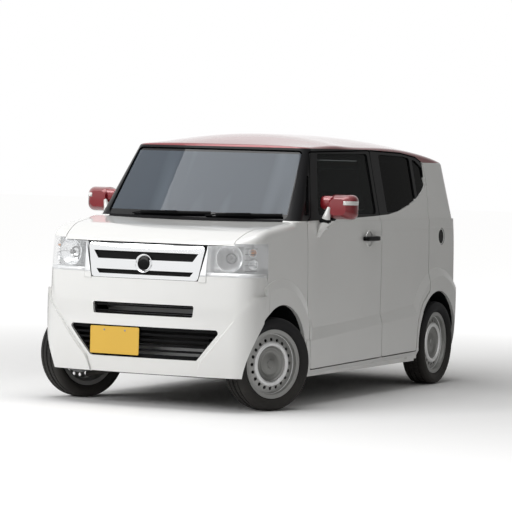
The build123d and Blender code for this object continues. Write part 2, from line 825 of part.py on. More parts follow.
half_tread = tyre_width / 2
bead_half = 51.4
tyre_points = [
    (-44.0, seat_radius + 0.4), (-bead_half, seat_radius + 0.4), (-53.4, rim_radius + 1.0),
    (-72.0, 222.0), (-half_tread, 240.0),
    (-half_tread + 6.0, 264.0), (-half_tread + 22.0, 278.0), (-half_tread + 34.0, tyre_radius),
    (half_tread - 34.0, tyre_radius), (half_tread - 22.0, 278.0), (half_tread - 6.0, 264.0),
    (half_tread, 240.0), (72.0, 222.0),
    (53.4, rim_radius + 1.0), (bead_half, seat_radius + 0.4), (44.0, seat_radius + 0.4),
    (45.0, 208.0), (64.0, 226.0), (70.0, 242.0), (60.0, 268.0),
    (-60.0, 268.0), (-70.0, 242.0), (-64.0, 226.0), (-45.0, 208.0),
]
rim_points = [
    (-59.0, rim_radius), (-54.0, rim_radius), (-52.0, seat_radius), (-26.0, seat_radius - 4.0),
    (-16.0, 172.0), (10.0, 172.0), (22.0, seat_radius - 4.0), (52.0, seat_radius),
    (54.0, rim_radius), (59.0, rim_radius),
    (57.0, seat_radius - 7.0), (30.0, seat_radius - 11.0), (34.0, 160.0), (40.0, 128.0),
    (34.0, 96.0), (18.0, 84.0), (18.0, 34.0), (24.0, 24.0), (30.0, 0.0), (22.0, 0.0),
    (18.0, stub_radius), (10.0, stub_radius), (10.0, 90.0), (26.0, 98.0), (32.0, 128.0),
    (26.0, 158.0), (14.0, 165.0), (-20.0, 165.0), (-32.0, seat_radius - 11.0),
    (-54.0, seat_radius - 7.0),
]
wheel_holes = 20
hole_ring = 147.0
hole_radius = 10.5


def road_wheel(hub):
    """Steel wheel with a ring of round holes and a closed hub cap."""
    with BuildPart() as wheel:
        add(turned(hub, rim_points))
        with BuildSketch(hub.offset(60.0)):
            with PolarLocations(hole_ring, wheel_holes):
                Circle(hole_radius)
        extrude(amount=-60.0, mode=Mode.SUBTRACT)
    return wheel.part


def knuckle(side):
    """Upright with its stub, brake disc and strut on the steering axis."""
    hub = hub_plane(side, True)
    low = Vector(side * kingpin_low_x, front_axle_y, kingpin_low_z)
    top = Vector(side * kingpin_top_x, front_axle_y, kingpin_top_z)
    axis = (top - low).normalized()
    stub_points = [
        (-60.0, 0.0), (-60.0, 45.0), (-30.0, 45.0), (-30.0, 118.0), (-18.0, 118.0),
        (-18.0, 60.0), (9.5, 60.0), (9.5, stub_radius - fit_gap), (17.0, stub_radius - fit_gap),
        (17.0, 0.0),
    ]
    with BuildPart() as upright:
        add(turned(hub, stub_points))
        with BuildSketch(Plane(origin=low, z_dir=axis)):
            Circle(22.0)
        extrude(amount=260.0)
        with BuildSketch(Plane(origin=low + axis * 250.0, z_dir=axis)):
            Circle(strut_radius)
        extrude(amount=(top - low).length - 250.0)
    return upright.part


def bar(start, end, radius):
    """Round bar between two points."""
    run = Vector(*end) - Vector(*start)
    with BuildPart() as rod:
        with BuildSketch(Plane(origin=start, z_dir=run.normalized())):
            Circle(radius)
        extrude(amount=run.length)
    return rod.part


lower_arm_left = bar(
    (rail_x - 40.0, front_axle_y, 200.0), (kingpin_low_x, front_axle_y, kingpin_low_z - 25.0), 16.0)
top_point = Vector(kingpin_top_x, front_axle_y, kingpin_top_z)
pin_axis = Vector(-kingpin_run, 0, 1).normalized()
with BuildPart() as tower:
    with BuildSketch(Plane(origin=top_point + pin_axis * fit_gap, z_dir=pin_axis)):
        Circle(75.0)
    extrude(amount=8.0)
    with BuildSketch(Plane(origin=top_point + pin_axis * fit_gap, z_dir=pin_axis)):
        Circle(75.0)
        Circle(69.0, mode=Mode.SUBTRACT)
    extrude(amount=-320.0)
    add(disc_zone(front_axle_y, tyre_radius, arch_radius - fit_gap - 2.0, 300.0, 900.0),
        mode=Mode.SUBTRACT)
with BuildPart() as tower_bore:
    with BuildSketch(Plane(origin=top_point, z_dir=pin_axis)):
        Circle(69.0)
    extrude(amount=-400.0)
arch_liner_front = joined(less(arch_liner_front, tower_bore.part), tower.part)
with BuildPart() as front_frame:
    add(box_zone(-rail_x - rail_half, rail_x + rail_half, front_axle_y - 60.0, front_axle_y + 60.0, 170.0, 238.0))
    add(box_zone(rail_x - rail_half, rail_x + rail_half, front_axle_y - 40.0, front_axle_y + 40.0, 230.0, rail_low_z - fit_gap))
    add(box_zone(-rail_x - rail_half, -rail_x + rail_half, front_axle_y - 40.0, front_axle_y + 40.0, 230.0, rail_low_z - fit_gap))
    add(lower_arm_left)
    add(flipped(lower_arm_left))

arm_x = 440.0
with BuildPart() as rear_axle:
    add(bar((-arm_x, rear_axle_y - 170.0, 300.0), (arm_x, rear_axle_y - 170.0, 300.0), 34.0))
    for side in (1, -1):
        add(bar((side * arm_x, load_step_y + fit_gap, 300.0), (side * arm_x, rear_axle_y - 160.0, 300.0), 26.0))
        add(bar((side * arm_x, rear_axle_y - 170.0, 300.0), (side * arm_x, rear_axle_y, 281.0), 26.0))
        add(bar((side * (arm_x - 20.0), rear_axle_y, 281.0), (side * 600.0, rear_axle_y, 281.0), 34.0))
        add(bar((side * arm_x, rear_axle_y - 60.0, 290.0), (side * arm_x, rear_axle_y - 60.0, load_floor_z - floor_thickness - fit_gap), 48.0))
        add(turned(hub_plane(side, False), [
            (-60.0, 0.0), (-60.0, 105.0), (-20.0, 105.0), (-20.0, 60.0), (9.5, 60.0),
            (9.5, stub_radius - fit_gap), (17.0, stub_radius - fit_gap), (17.0, 0.0)]))

with BuildPart() as exhaust:
    with BuildLine() as run:
        FilletPolyline(
            (-250.0, bulkhead_y - 60.0 + fit_gap, 222.0), (-250.0, bulkhead_y + 40.0, 222.0),
            (-395.0, bulkhead_y + 260.0, 205.0), (-395.0, 450.0, 205.0),
            (-300.0, 800.0, 205.0), (-300.0, rear_axle_y + 120.0, 205.0),
            (-300.0, rear_axle_y + 210.0, 300.0), radius=40.0)
    with BuildSketch(Plane(origin=run.line @ 0, z_dir=run.line % 0)):
        Circle(20.0)
    sweep()
    with BuildSketch(Plane.YZ.offset(-420.0)):
        with Locations((rear_axle_y + 250.0, 330.0)):
            Ellipse(70.0, 60.0)
    extrude(amount=500.0)

# ---------------------------------------------------------------- cabin
seat_x = 300.0
seat_columns = ("name", "front", "half_width", "cushion_top", "back_top")
seat_table = [
    ("seats_front", -330.0, 230.0, 600.0, 1150.0),
    ("seats_rear", 560.0, 230.0, 620.0, 1110.0),
]


def seat_pair(front, half, cushion_top, back_top):
    """Two seats with cushion, back and headrest on their bases."""
    with BuildPart() as pair:
        for side in (1, -1):
            with BuildSketch(Plane.YZ.offset(side * seat_x - half)) as profile:
                with BuildLine():
                    Polyline(
                        (front + 60.0, floor_z + fit_gap),
                        (front + 40.0, cushion_top - 130.0),
                        (front, cushion_top - 110.0),
                        (front, cushion_top - 20.0),
                        (front + 40.0, cushion_top),
                        (front + 430.0, cushion_top - 30.0),
                        (front + 560.0, back_top - 20.0),
                        (front + 600.0, back_top),
                        (front + 650.0, back_top - 20.0),
                        (front + 560.0, cushion_top - 60.0),
                        (front + 500.0, load_floor_z + 20.0),
                        (front + 300.0, load_floor_z + 20.0),
                        (front + 280.0, floor_z + fit_gap),
                        close=True,
                    )
                make_face()
                fillet(profile.vertices().group_by(Axis.Y)[2:], 12.0)
            extrude(amount=2 * half)
            with BuildSketch(Plane.YZ.offset(side * seat_x - 110.0)) as rest:
                with BuildLine():
                    Polyline(
                        (front + 590.0, back_top - 30.0),
                        (front + 590.0, back_top + 150.0),
                        (front + 620.0, back_top + 165.0),
                        (front + 680.0, back_top + 150.0),
                        (front + 660.0, back_top + 20.0),
                        (front + 620.0, back_top - 30.0),
                        close=True,
                    )
                make_face()
            extrude(amount=220.0)
    return pair.part


seats_front = seat_pair(*seat_table[0][1:])
seats_rear = seat_pair(*seat_table[1][1:])

dash_top = belt_z - 20.0
with BuildPart() as dash:
    with BuildSketch(Plane.YZ.offset(-800.0)) as profile:
        with BuildLine():
            Polyline(
                (bulkhead_y + fit_gap, 700.0),
                (bulkhead_y + fit_gap, dash_top - 50.0),
                (bulkhead_y + 60.0, dash_top),
                (bulkhead_y + 260.0, dash_top - 30.0),
                (bulkhead_y + 340.0, dash_top - 110.0),
                (bulkhead_y + 330.0, dash_top - 300.0),
                (bulkhead_y + 180.0, 640.0),
                (bulkhead_y + 80.0, 640.0),
                close=True,
            )
        make_face()
    extrude(amount=1600.0)
    add(cabin_room, mode=Mode.INTERSECT)

wheel_x = -seat_x
rim_centre = Vector(wheel_x, bulkhead_y + 500.0, 950.0)
column_axis = Vector(0, math.cos(math.radians(28)), math.sin(math.radians(28)))
steer_plane = Plane(origin=rim_centre, x_dir=(1, 0, 0), z_dir=column_axis)
with BuildPart() as steering_wheel:
    with BuildSketch(Plane(origin=rim_centre, x_dir=(1, 0, 0), z_dir=column_axis.cross(Vector(1, 0, 0)))):
        with Locations((175.0, 0.0)):
            Circle(14.0)
    revolve(axis=Axis(rim_centre, column_axis))
    with BuildSketch(steer_plane.offset(-40.0)):
        Circle(60.0)
    extrude(amount=45.0)
    with BuildSketch(steer_plane.offset(-12.0)):
        Rectangle(330.0, 34.0)
        with Locations((0.0, -80.0)):
            Rectangle(34.0, 160.0)
    extrude(amount=14.0)
    with BuildSketch(steer_plane.offset(-40.0)):
        Circle(30.0)
    extrude(amount=-200.0)
    add(dash.part.moved(Location((0, fit_gap, 0))), mode=Mode.SUBTRACT)

# ---------------------------------------------------------------- mirrors
mirror_x = 845.0
mirror_y = door_sash_low + 112.0
mirror_z = 1222.0
with BuildPart() as mirror_head:
    with BuildSketch(Plane.XZ.offset(-mirror_y - 55.0)) as back:
        with Locations((mirror_x, mirror_z)):
            RectangleRounded(172.0, 150.0, 36.0)
    with BuildSketch(Plane.XZ.offset(-mirror_y + 10.0)):
        with Locations((mirror_x, mirror_z)):
            RectangleRounded(168.0, 146.0, 40.0)
    with BuildSketch(Plane.XZ.offset(-mirror_y + 58.0)):
        with Locations((mirror_x - 6.0, mirror_z)):
            RectangleRounded(110.0, 100.0, 34.0)
    loft()
with BuildPart() as mirror_mount:
    add(bar((mirror_x - 40.0, mirror_y, mirror_z - 60.0), (mirror_x - 95.0, mirror_y - 4.0, belt_z - 10.0), 16.0))
    add(bar((mirror_x - 90.0, mirror_y - 4.0, belt_z - 22.0), (mirror_x - 150.0, mirror_y - 4.0, belt_z - 38.0), 20.0))
    add(mirror_head.part, mode=Mode.SUBTRACT)
    add(form_wall, mode=Mode.SUBTRACT)

with BuildPart() as handle:
    with BuildSketch(Plane.YZ.offset(body_half - 20.0)):
        with Locations((pillar_y - 130.0, 1012.0)):
            SlotOverall(220.0, 26.0)
    extrude(amount=44.0)

front_door = joined(front_door, mirror_mount.part, handle.part)

# ---------------------------------------------------------------- finished pieces
tyres = [
    ("front_left", hub_plane(1, True)), ("front_right", hub_plane(-1, True)),
    ("rear_left", hub_plane(1, False)), ("rear_right", hub_plane(-1, False)),
]
pieces = [
    ("roof_panel", roof_panel),
    ("bonnet", bonnet),
    ("cowl", cowl),
    ("front_bumper", front_bumper),
    ("rear_bumper", rear_bumper),
    ("tailgate", tailgate),
    ("tailgate_glass", hatch_glass),
    ("windscreen", windscreen),
    ("chrome_grille", chrome_grille),
    ("grille_mesh", grille_mesh),
    ("bumper_grilles", joined(grille_lower, grille_slot)),
    ("front_plate", front_plate.part),
    ("rear_plate", rear_plate.part),
    ("floor_pan", floor_pan),
    ("engine", engine),
    ("fuel_tank", fuel_tank.part),
    ("front_frame", front_frame.part),
    ("rear_axle", rear_axle.part),
    ("exhaust", exhaust.part),
    ("seats", joined(seats_front, seats_rear)),
    ("dashboard", dash.part),
    ("steering_wheel", steering_wheel.part),
    ("fuel_lid", fuel_lid),
    ("knuckle_left", knuckle(1)),
    ("knuckle_right", knuckle(-1)),
    ("wheel_houses", joined(
        arch_liner_front, flipped(arch_liner_front), arch_liner_rear, flipped(arch_liner_rear))),
    ("fenders", joined(fender_left, flipped(fender_left))),
    ("headlamps", joined(headlamp_left, flipped(headlamp_left))),
    ("tail_lamps", joined(tail_lamp_left, flipped(tail_lamp_left))),
    ("quarter_glass", joined(sash_glass_left, flipped(sash_glass_left))),
]
for name, shape in (
    ("body_side", body_side_left),
    ("front_door", front_door),
    ("rear_door", rear_door),
    ("front_door_glass", glass_front_left),
    ("rear_door_glass", joined(glass_rear_left, glass_quarter_left)),
    ("mirror", mirror_head.part),
):
    pieces.append((name + "_left", shape))
    pieces.append((name + "_right", flipped(shape)))
for name, hub in tyres:
    pieces.append(("tyre_" + name, turned(hub, tyre_points)))
    pieces.append(("wheel_" + name, road_wheel(hub)))

os.makedirs("parts", exist_ok=True)
for name, shape in pieces:
    shape.label = name
    export_step(shape, "parts/" + name + ".step")
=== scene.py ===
# %% [markdown]
# # Looks of a small boxy car
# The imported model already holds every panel, door, wheel and seat at its true size.
# This lesson adds what a solid model leaves out: paint, glass, lamps, tyre tread and trim.
# Everything is in metres in the car's own frame: the front faces -Y, +X is the car's left,
# +Z is up and the origin is on the ground in the middle.

# %% Load the car
import math

import bmesh
import bpy
import numpy as np
from mathutils import Matrix, Vector
from mathutils.bvhtree import BVHTree


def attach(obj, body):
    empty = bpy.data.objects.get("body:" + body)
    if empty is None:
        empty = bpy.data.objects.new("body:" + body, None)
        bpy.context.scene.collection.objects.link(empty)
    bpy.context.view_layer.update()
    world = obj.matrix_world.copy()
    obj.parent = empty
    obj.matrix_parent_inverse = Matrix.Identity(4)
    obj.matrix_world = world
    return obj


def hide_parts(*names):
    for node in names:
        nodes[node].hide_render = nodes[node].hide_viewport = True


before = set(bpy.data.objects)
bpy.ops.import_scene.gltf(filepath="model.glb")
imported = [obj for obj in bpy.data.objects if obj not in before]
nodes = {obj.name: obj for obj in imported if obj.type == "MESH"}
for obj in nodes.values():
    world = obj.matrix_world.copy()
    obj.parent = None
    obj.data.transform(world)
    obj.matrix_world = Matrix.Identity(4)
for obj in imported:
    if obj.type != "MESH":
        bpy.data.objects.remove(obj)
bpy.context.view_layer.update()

# %% [markdown]
# ## Sizes that the pieces share
# Each value is measured once here, so a lamp, its reflector and its lens stay together.

# %% Shared sizes
nose_y = -1.6975
front_overhang = 0.435
wheelbase = 2.520
front_axle_y = nose_y + front_overhang
rear_axle_y = front_axle_y + wheelbase
track = 1.305
tyre_radius = 0.281
tyre_width = 0.165
arch_radius = 0.3545
sides = (("left", 1.0), ("right", -1.0))
merge_distance = 1e-5
ray_start = 3.0
print("axles at y:", round(front_axle_y, 4), round(rear_axle_y, 4), "track:", track)

# %% [markdown]
# ## Surfaces from arrays
# A surface here is a grid of points worked out by numpy, one row per step along it.
# The faces of such a grid are the same for every shape, so one helper makes them all.

# %% Grid and mesh helpers
def grid_faces(rows, cols, wrap_rows=False, wrap_cols=False):
    """Four-sided faces that join each grid point to its right, upper right and upper neighbours."""
    row = np.arange(rows if wrap_rows else rows - 1)[:, None]
    col = np.arange(cols if wrap_cols else cols - 1)[None, :]
    up = (row + 1) % rows
    right = (col + 1) % cols
    faces = np.stack([row * cols + col, row * cols + right, up * cols + right, up * cols + col], -1)
    return faces.reshape(-1, 4)


def new_object(name, data):
    """Object for a mesh, a lamp or the camera, linked into the scene."""
    made = bpy.data.objects.new(name, data)
    bpy.context.scene.collection.objects.link(made)
    return made


def read_points(mesh):
    """Points of a mesh as rows of x, y and z."""
    points = np.zeros(len(mesh.vertices) * 3, np.float32)
    mesh.vertices.foreach_get("co", points)
    return points.reshape(-1, 3)


def mesh_piece(name, points, faces):
    """Object whose mesh is filled straight from arrays of points and faces."""
    points = np.ascontiguousarray(points, dtype=np.float32).reshape(-1, 3)
    mesh = bpy.data.meshes.new(name)
    mesh.vertices.add(len(points))
    mesh.vertices.foreach_set("co", points.ravel())
    corners = np.ascontiguousarray(faces, dtype=np.int32)
    mesh.loops.add(corners.size)
    mesh.loops.foreach_set("vertex_index", corners.ravel())
    mesh.polygons.add(len(corners))
    starts = np.arange(len(corners), dtype=np.int32) * corners.shape[1]
    mesh.polygons.foreach_set("loop_start", starts)
    mesh.update(calc_edges=True)
    mesh.validate()
    mesh.polygons.foreach_set("use_smooth", np.full(len(mesh.polygons), True))
    return new_object(name, mesh)


def tidy(piece, angle=35.0):
    """Merge doubles, turn faces outwards, and shade edges sharper than an angle as edges."""
    work = bmesh.new()
    work.from_mesh(piece.data)
    bmesh.ops.remove_doubles(work, verts=work.verts, dist=merge_distance)
    bmesh.ops.recalc_face_normals(work, faces=work.faces)
    work.to_mesh(piece.data)
    work.free()
    piece.data.set_sharp_from_angle(angle=math.radians(angle))
    return piece


def dress(piece, material, body, slot, *stands_for):
    """Give a piece its material, the body it rides on and the nodes it stands for; the slot argument
    is not used.
    """
    piece.data.materials.clear()
    piece.data.materials.append(material)
    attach(piece, body)
    if stands_for:
        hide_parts(*stands_for)
    return piece


# %% [markdown]
# ## Shapes turned about an axle
# Tyres, rings, caps and reflectors are all a profile turned about a line.
# A point at (along, radius) goes to centre + along * axis + radius * (cos t * side + sin t * up).

# %% Turned surfaces
def turned(name, profile, centre, axis, steps=96):
    """Closed profile of (along, radius) points turned about an axis through a centre."""
    profile = np.asarray(profile, float)
    axis = np.asarray(axis, float) / np.linalg.norm(axis)
    helper = np.array([0.0, 0.0, 1.0]) if abs(axis[2]) < 0.9 else np.array([0.0, 1.0, 0.0])
    side = np.cross(helper, axis)
    side /= np.linalg.norm(side)
    up = np.cross(axis, side)
    turn = np.linspace(0.0, 2 * np.pi, steps, endpoint=False)
    spoke = np.cos(turn)[:, None] * side + np.sin(turn)[:, None] * up
    points = (np.asarray(centre, float) + profile[None, :, 0, None] * axis
              + profile[None, :, 1, None] * spoke[:, None, :])
    return mesh_piece(name, points, grid_faces(steps, len(profile), True, True))


def carried(name, path, section, ups=(0.0, 0.0, 1.0)):
    """Closed section of (s, u) points carried along a path, to path + s * side + u * up."""
    path = np.asarray(path, float)
    section = np.asarray(section, float)
    run = np.gradient(path, axis=0)
    run /= np.linalg.norm(run, axis=1)[:, None]
    side = np.cross(run, np.asarray(ups, float))
    side /= np.linalg.norm(side, axis=1)[:, None]
    up = np.cross(side, run)
    points = (path[:, None] + section[None, :, 0, None] * side[:, None]
              + section[None, :, 1, None] * up[:, None])
    count = len(section)
    piece = mesh_piece(name, points, grid_faces(len(path), count, False, True))
    work = bmesh.new()
    work.from_mesh(piece.data)
    work.verts.ensure_lookup_table()
    for ring in (range(count)[::-1], range((len(path) - 1) * count, len(path) * count)):
        work.faces.new([work.verts[i] for i in ring])
    work.to_mesh(piece.data)
    work.free()
    return piece


def ring_section(radius, sides=12):
    """Round section: (s, u) = radius * (cos t, sin t)."""
    turn = np.linspace(0.0, 2 * np.pi, sides, endpoint=False)
    return np.stack([np.cos(turn), np.sin(turn)], -1) * radius


def smooth_path(points, steps=40):
    """Path through points a, b, c, d by the Catmull-Rom cubic between b and c.

    It is half of 2 b + (c - a) t + (2 a - 5 b + 4 c - d) t^2 + (3 b - a - 3 c + d) t^3.
    """
    points = np.asarray(points, float)
    padded = np.vstack([2 * points[0] - points[1], points, 2 * points[-1] - points[-2]])
    where = np.linspace(0.0, len(points) - 1 - 1e-9, steps)
    leg = where.astype(int)
    t = (where - leg)[:, None]
    a, b, c, d = padded[leg], padded[leg + 1], padded[leg + 2], padded[leg + 3]
    return 0.5 * (2 * b + (c - a) * t + (2 * a - 5 * b + 4 * c - d) * t ** 2
                  + (3 * b - a - 3 * c + d) * t ** 3)


# %% [markdown]
# ## Finding the skin
# Small parts sit on the car's skin. A ray shot at a node gives the point where it lands,
# and a part of a node's own skin can be copied, cut by planes and given a thin wall.

# %% Skin helpers
search_trees = {}


def on_skin(node, spot, way):
    """Point where a ray from a spot first meets a node, and the way its skin faces there."""
    if node not in search_trees:
        mesh = nodes[node].data
        mesh.calc_loop_triangles()
        corners = np.zeros(len(mesh.loop_triangles) * 3, np.int32)
        mesh.loop_triangles.foreach_get("vertices", corners)
        search_trees[node] = BVHTree.FromPolygons(
            read_points(mesh).tolist(), corners.reshape(-1, 3).tolist())
    hit, facing, _, _ = search_trees[node].ray_cast(Vector(spot), Vector(way))
    return np.array(hit), np.array(facing)


def skin_patch(name, node, keep, cuts=(), thick=0.0015, lift=0.0, inside_out=False):
    """Part of a node's skin whose facing passes a test, cut by planes, with a thin wall."""
    work = bmesh.new()
    work.from_mesh(nodes[node].data)
    bmesh.ops.remove_doubles(work, verts=work.verts, dist=merge_distance)
    gone = [face for face in work.faces if not keep(face.normal, face.calc_center_median())]
    bmesh.ops.delete(work, geom=gone, context="FACES")
    for spot, way in cuts:
        every = work.verts[:] + work.edges[:] + work.faces[:]
        bmesh.ops.bisect_plane(work, geom=every, plane_co=spot, plane_no=way, clear_inner=True)
    if inside_out:
        bmesh.ops.reverse_faces(work, faces=work.faces)
    mesh = bpy.data.meshes.new(name)
    work.to_mesh(mesh)
    work.free()
    facing = np.zeros(len(mesh.vertices) * 3, np.float32)
    mesh.vertices.foreach_get("normal", facing)
    mesh.vertices.foreach_set("co", read_points(mesh).ravel() + facing * lift)
    mesh.polygons.foreach_set("use_smooth", np.full(len(mesh.polygons), True))
    piece = new_object(name, mesh)
    wall = piece.modifiers.new("wall", "SOLIDIFY")
    wall.thickness = thick
    wall.offset = -1.0
    piece.data.set_sharp_from_angle(angle=math.radians(40.0))
    return piece


def walled_grid(name, x, y, z):
    """Sheet through the grid points (x, y, z), with a wall of 4 mm."""
    points = np.stack(np.broadcast_arrays(x, y, z), -1)
    piece = tidy(mesh_piece(name, points, grid_faces(*points.shape[:2])))
    piece.modifiers.new("wall", "SOLIDIFY").thickness = 0.004
    return piece


# %% [markdown]
# ## Soft blocks
# Mirrors, grips and seat cushions are blocks with crowned faces. A superellipsoid gives
# them: each direction of a sphere is pushed out to |x|^n + |y|^n + |z|^n = 1, then the
# shape is stretched, tilted about X, turned about Z and moved to its centre.

# %% Superellipsoids
def rounded_block(name, centre, size, power, turn=0.0, tilt=0.0, steps=48, seams=0, sharp=50.0):
    """Superellipsoid of a given size, with sewn channels across its top if it has seams.

    A channel is 6 mm * exp(-81 d^2) deep at a distance d from its middle, in channel spacings.
    """
    lat = np.linspace(-np.pi / 2, np.pi / 2, steps // 2)
    lon = np.linspace(0.0, 2 * np.pi, steps, endpoint=False)
    sphere = np.stack([
        np.cos(lat)[:, None] * np.cos(lon)[None],
        np.cos(lat)[:, None] * np.sin(lon)[None],
        np.sin(lat)[:, None] * np.ones_like(lon)[None]], -1)
    unit = sphere * ((np.abs(sphere) ** power).sum(-1) ** (-1.0 / power))[..., None]
    points = unit * (np.asarray(size, float) / 2)
    if seams:
        away = unit[..., 0:1] * seams - np.round(unit[..., 0:1] * seams)
        points[..., 2:3] -= 0.006 * np.exp(-(away * 9.0) ** 2) * np.clip(unit[..., 2:3], 0.0, 1.0)
    tilt_cos, tilt_sin = math.cos(tilt), math.sin(tilt)
    turn_cos, turn_sin = math.cos(turn), math.sin(turn)
    lean = np.array([[1, 0, 0], [0, tilt_cos, -tilt_sin], [0, tilt_sin, tilt_cos]])
    spin = np.array([[turn_cos, -turn_sin, 0], [turn_sin, turn_cos, 0], [0, 0, 1]])
    points = points @ lean.T @ spin.T + np.asarray(centre, float)
    return tidy(mesh_piece(name, points, grid_faces(len(lat), len(lon), False, True)), sharp)


def pillow(name, centre, size, power, lean, seams, steps):
    """Soft block leant back by an angle, with sewn channels across it."""
    return rounded_block(name, centre, size, power, 0.0, lean, steps, seams, 60.0)


# %% [markdown]
# ## Node helpers
# Materials are small node trees. Short helpers keep them readable: they add a node and set
# its sockets, join an output to an input, do sums, mix colours and place shared effects.

# %% Node helpers
def put(tree, kind, **settings):
    """Add a node, setting sockets by name and other settings as attributes."""
    made = tree.nodes.new(kind)
    for key, value in settings.items():
        label = key.replace("_", " ")
        sockets = [s for s in made.inputs if s.name.lower() == label.lower()]
        if hasattr(made, key) and not sockets:
            setattr(made, key, value)
        else:
            sockets[0].default_value = value
    return made


def wire(tree, source, target):
    """Join an output to an input."""
    tree.links.new(source, target)


def maths(tree, operation, first, second=None, third=None, clamp=False):
    """Math node on sockets or plain numbers."""
    made = tree.nodes.new("ShaderNodeMath")
    made.operation = operation
    made.use_clamp = clamp
    for i, value in enumerate((first, second, third)):
        if value is None:
            continue
        if isinstance(value, (int, float)):
            made.inputs[i].default_value = value
        else:
            wire(tree, value, made.inputs[i])
    return made.outputs[0]


def blend_colours(tree, factor, first, second):
    """Mix of two colours, each a socket or a tuple, by a factor socket."""
    made = tree.nodes.new("ShaderNodeMix")
    made.data_type = "RGBA"
    wire(tree, factor, made.inputs[0])
    for socket, value in ((made.inputs[6], first), (made.inputs[7], second)):
        if isinstance(value, tuple):
            socket.default_value = (*value, 1.0)
        else:
            wire(tree, value, socket)
    return made.outputs[2]


def principled(made):
    """Shader node of a material."""
    return made.node_tree.nodes["Principled BSDF"]


def object_axes(tree):
    """Object coordinates as one socket, and the same split into X, Y and Z."""
    where = tree.nodes.new("ShaderNodeTexCoord").outputs["Object"]
    split = tree.nodes.new("ShaderNodeSeparateXYZ")
    wire(tree, where, split.inputs[0])
    return where, split.outputs


def effect(tree, group, **values):
    """Outputs of a shared group placed in a tree with its own values."""
    made = tree.nodes.new("ShaderNodeGroup")
    made.node_tree = group
    for label, value in values.items():
        made.inputs[label].default_value = value
    return made.outputs


def raise_by(made, height, strength, distance, **settings):
    """Bump a material's surface by a height socket."""
    tree = made.node_tree
    relief = put(tree, "ShaderNodeBump", Strength=strength, Distance=distance, **settings)
    wire(tree, height, relief.inputs["Height"])
    wire(tree, relief.outputs[0], principled(made).inputs["Normal"])


def new_group(name, inputs, outputs):
    """Shader node group with float or colour sockets."""
    tree = bpy.data.node_groups.new(name, "ShaderNodeTree")
    for label, kind, value in inputs:
        socket = tree.interface.new_socket(name=label, in_out="INPUT", socket_type=kind)
        socket.default_value = value
    for label, kind in outputs:
        tree.interface.new_socket(name=label, in_out="OUTPUT", socket_type=kind)
    return tree, tree.nodes.new("NodeGroupInput"), tree.nodes.new("NodeGroupOutput")


# %% [markdown]
# ## Shared effects
# Real finishes are never perfectly even. One group gives fine unevenness for bump and
# roughness, one gives road dust that thickens towards the ground, and one tells where
# the black window band runs along the side of the car.

# %% Unevenness group
uneven, uneven_in, uneven_out = new_group(
    "fine_unevenness",
    [("Scale", "NodeSocketFloat", 60.0), ("Amount", "NodeSocketFloat", 0.1),
     ("Middle", "NodeSocketFloat", 0.4)],
    [("Height", "NodeSocketFloat"), ("Value", "NodeSocketFloat")])
grain = put(uneven, "ShaderNodeTexNoise", Detail=5.0, Roughness=0.6)
wire(uneven, object_axes(uneven)[0], grain.inputs["Vector"])
wire(uneven, uneven_in.outputs["Scale"], grain.inputs["Scale"])
spread = maths(uneven, "SUBTRACT", grain.outputs[0], 0.5)
scaled = maths(uneven, "MULTIPLY", spread, uneven_in.outputs["Amount"])
wire(uneven, grain.outputs[0], uneven_out.inputs["Height"])
wire(uneven, maths(uneven, "ADD", scaled, uneven_in.outputs["Middle"], clamp=True),
     uneven_out.inputs["Value"])

# %% Road dust group
dust, dust_in, dust_out = new_group(
    "road_dust",
    [("Top", "NodeSocketFloat", 0.6), ("Strength", "NodeSocketFloat", 0.3)],
    [("Mask", "NodeSocketFloat")])
place, axes = object_axes(dust)
cloud = put(dust, "ShaderNodeTexNoise", Scale=7.0, Detail=6.0, Roughness=0.65)
wire(dust, place, cloud.inputs["Vector"])
low = maths(dust, "DIVIDE", maths(dust, "SUBTRACT", dust_in.outputs["Top"], axes["Z"]),
            dust_in.outputs["Top"], clamp=True)
patchy = maths(dust, "MULTIPLY", low, maths(dust, "ADD", cloud.outputs[0], 0.2, clamp=True))
wire(dust, maths(dust, "MULTIPLY", patchy, dust_in.outputs["Strength"], clamp=True),
     dust_out.inputs["Mask"])

# %% Window band group
band_line = [
    (-1.20, 1.134), (-0.90, 1.132), (-0.40, 1.140), (0.16, 1.153), (0.42, 1.163), (0.60, 1.183),
    (0.80, 1.222), (0.95, 1.268), (1.05, 1.308), (1.10, 1.338), (1.130, 1.375), (1.147, 1.46),
    (1.150, 1.60), (1.25, 1.60),
]
band_start, band_run = 1.20, 2.45
band_base, band_rise = 1.0, 0.7
band, band_in, band_out = new_group(
    "window_band", [("Edge", "NodeSocketFloat", 400.0)], [("Mask", "NodeSocketFloat")])
axes = object_axes(band)[1]
along = maths(band, "DIVIDE", maths(band, "ADD", axes["Y"], band_start), band_run, clamp=True)
line = band.nodes.new("ShaderNodeFloatCurve")
curve = line.mapping.curves[0]
curve.points[0].location = (0.0, (band_line[0][1] - band_base) / band_rise)
curve.points[1].location = (1.0, (band_line[-1][1] - band_base) / band_rise)
for y, z in band_line[1:-1]:
    curve.points.new((y + band_start) / band_run, (z - band_base) / band_rise)
for point in curve.points:
    point.handle_type = "VECTOR"
line.mapping.update()
wire(band, along, line.inputs["Value"])
border = maths(band, "MULTIPLY_ADD", line.outputs[0], band_rise, band_base)
above = maths(band, "SUBTRACT", axes["Z"], border)
wire(band, maths(band, "MULTIPLY_ADD", above, band_in.outputs["Edge"], 0.5, clamp=True),
     band_out.inputs["Mask"])


# %% [markdown]
# ## Materials
# Car paint is a coloured base under a clear coat. The base is a little rough and holds
# fine flakes, the coat is smooth and gives the sharp reflections.

# %% Material starter
dust_colour = (0.30, 0.27, 0.22)
blackest = (0.006, 0.006, 0.007)


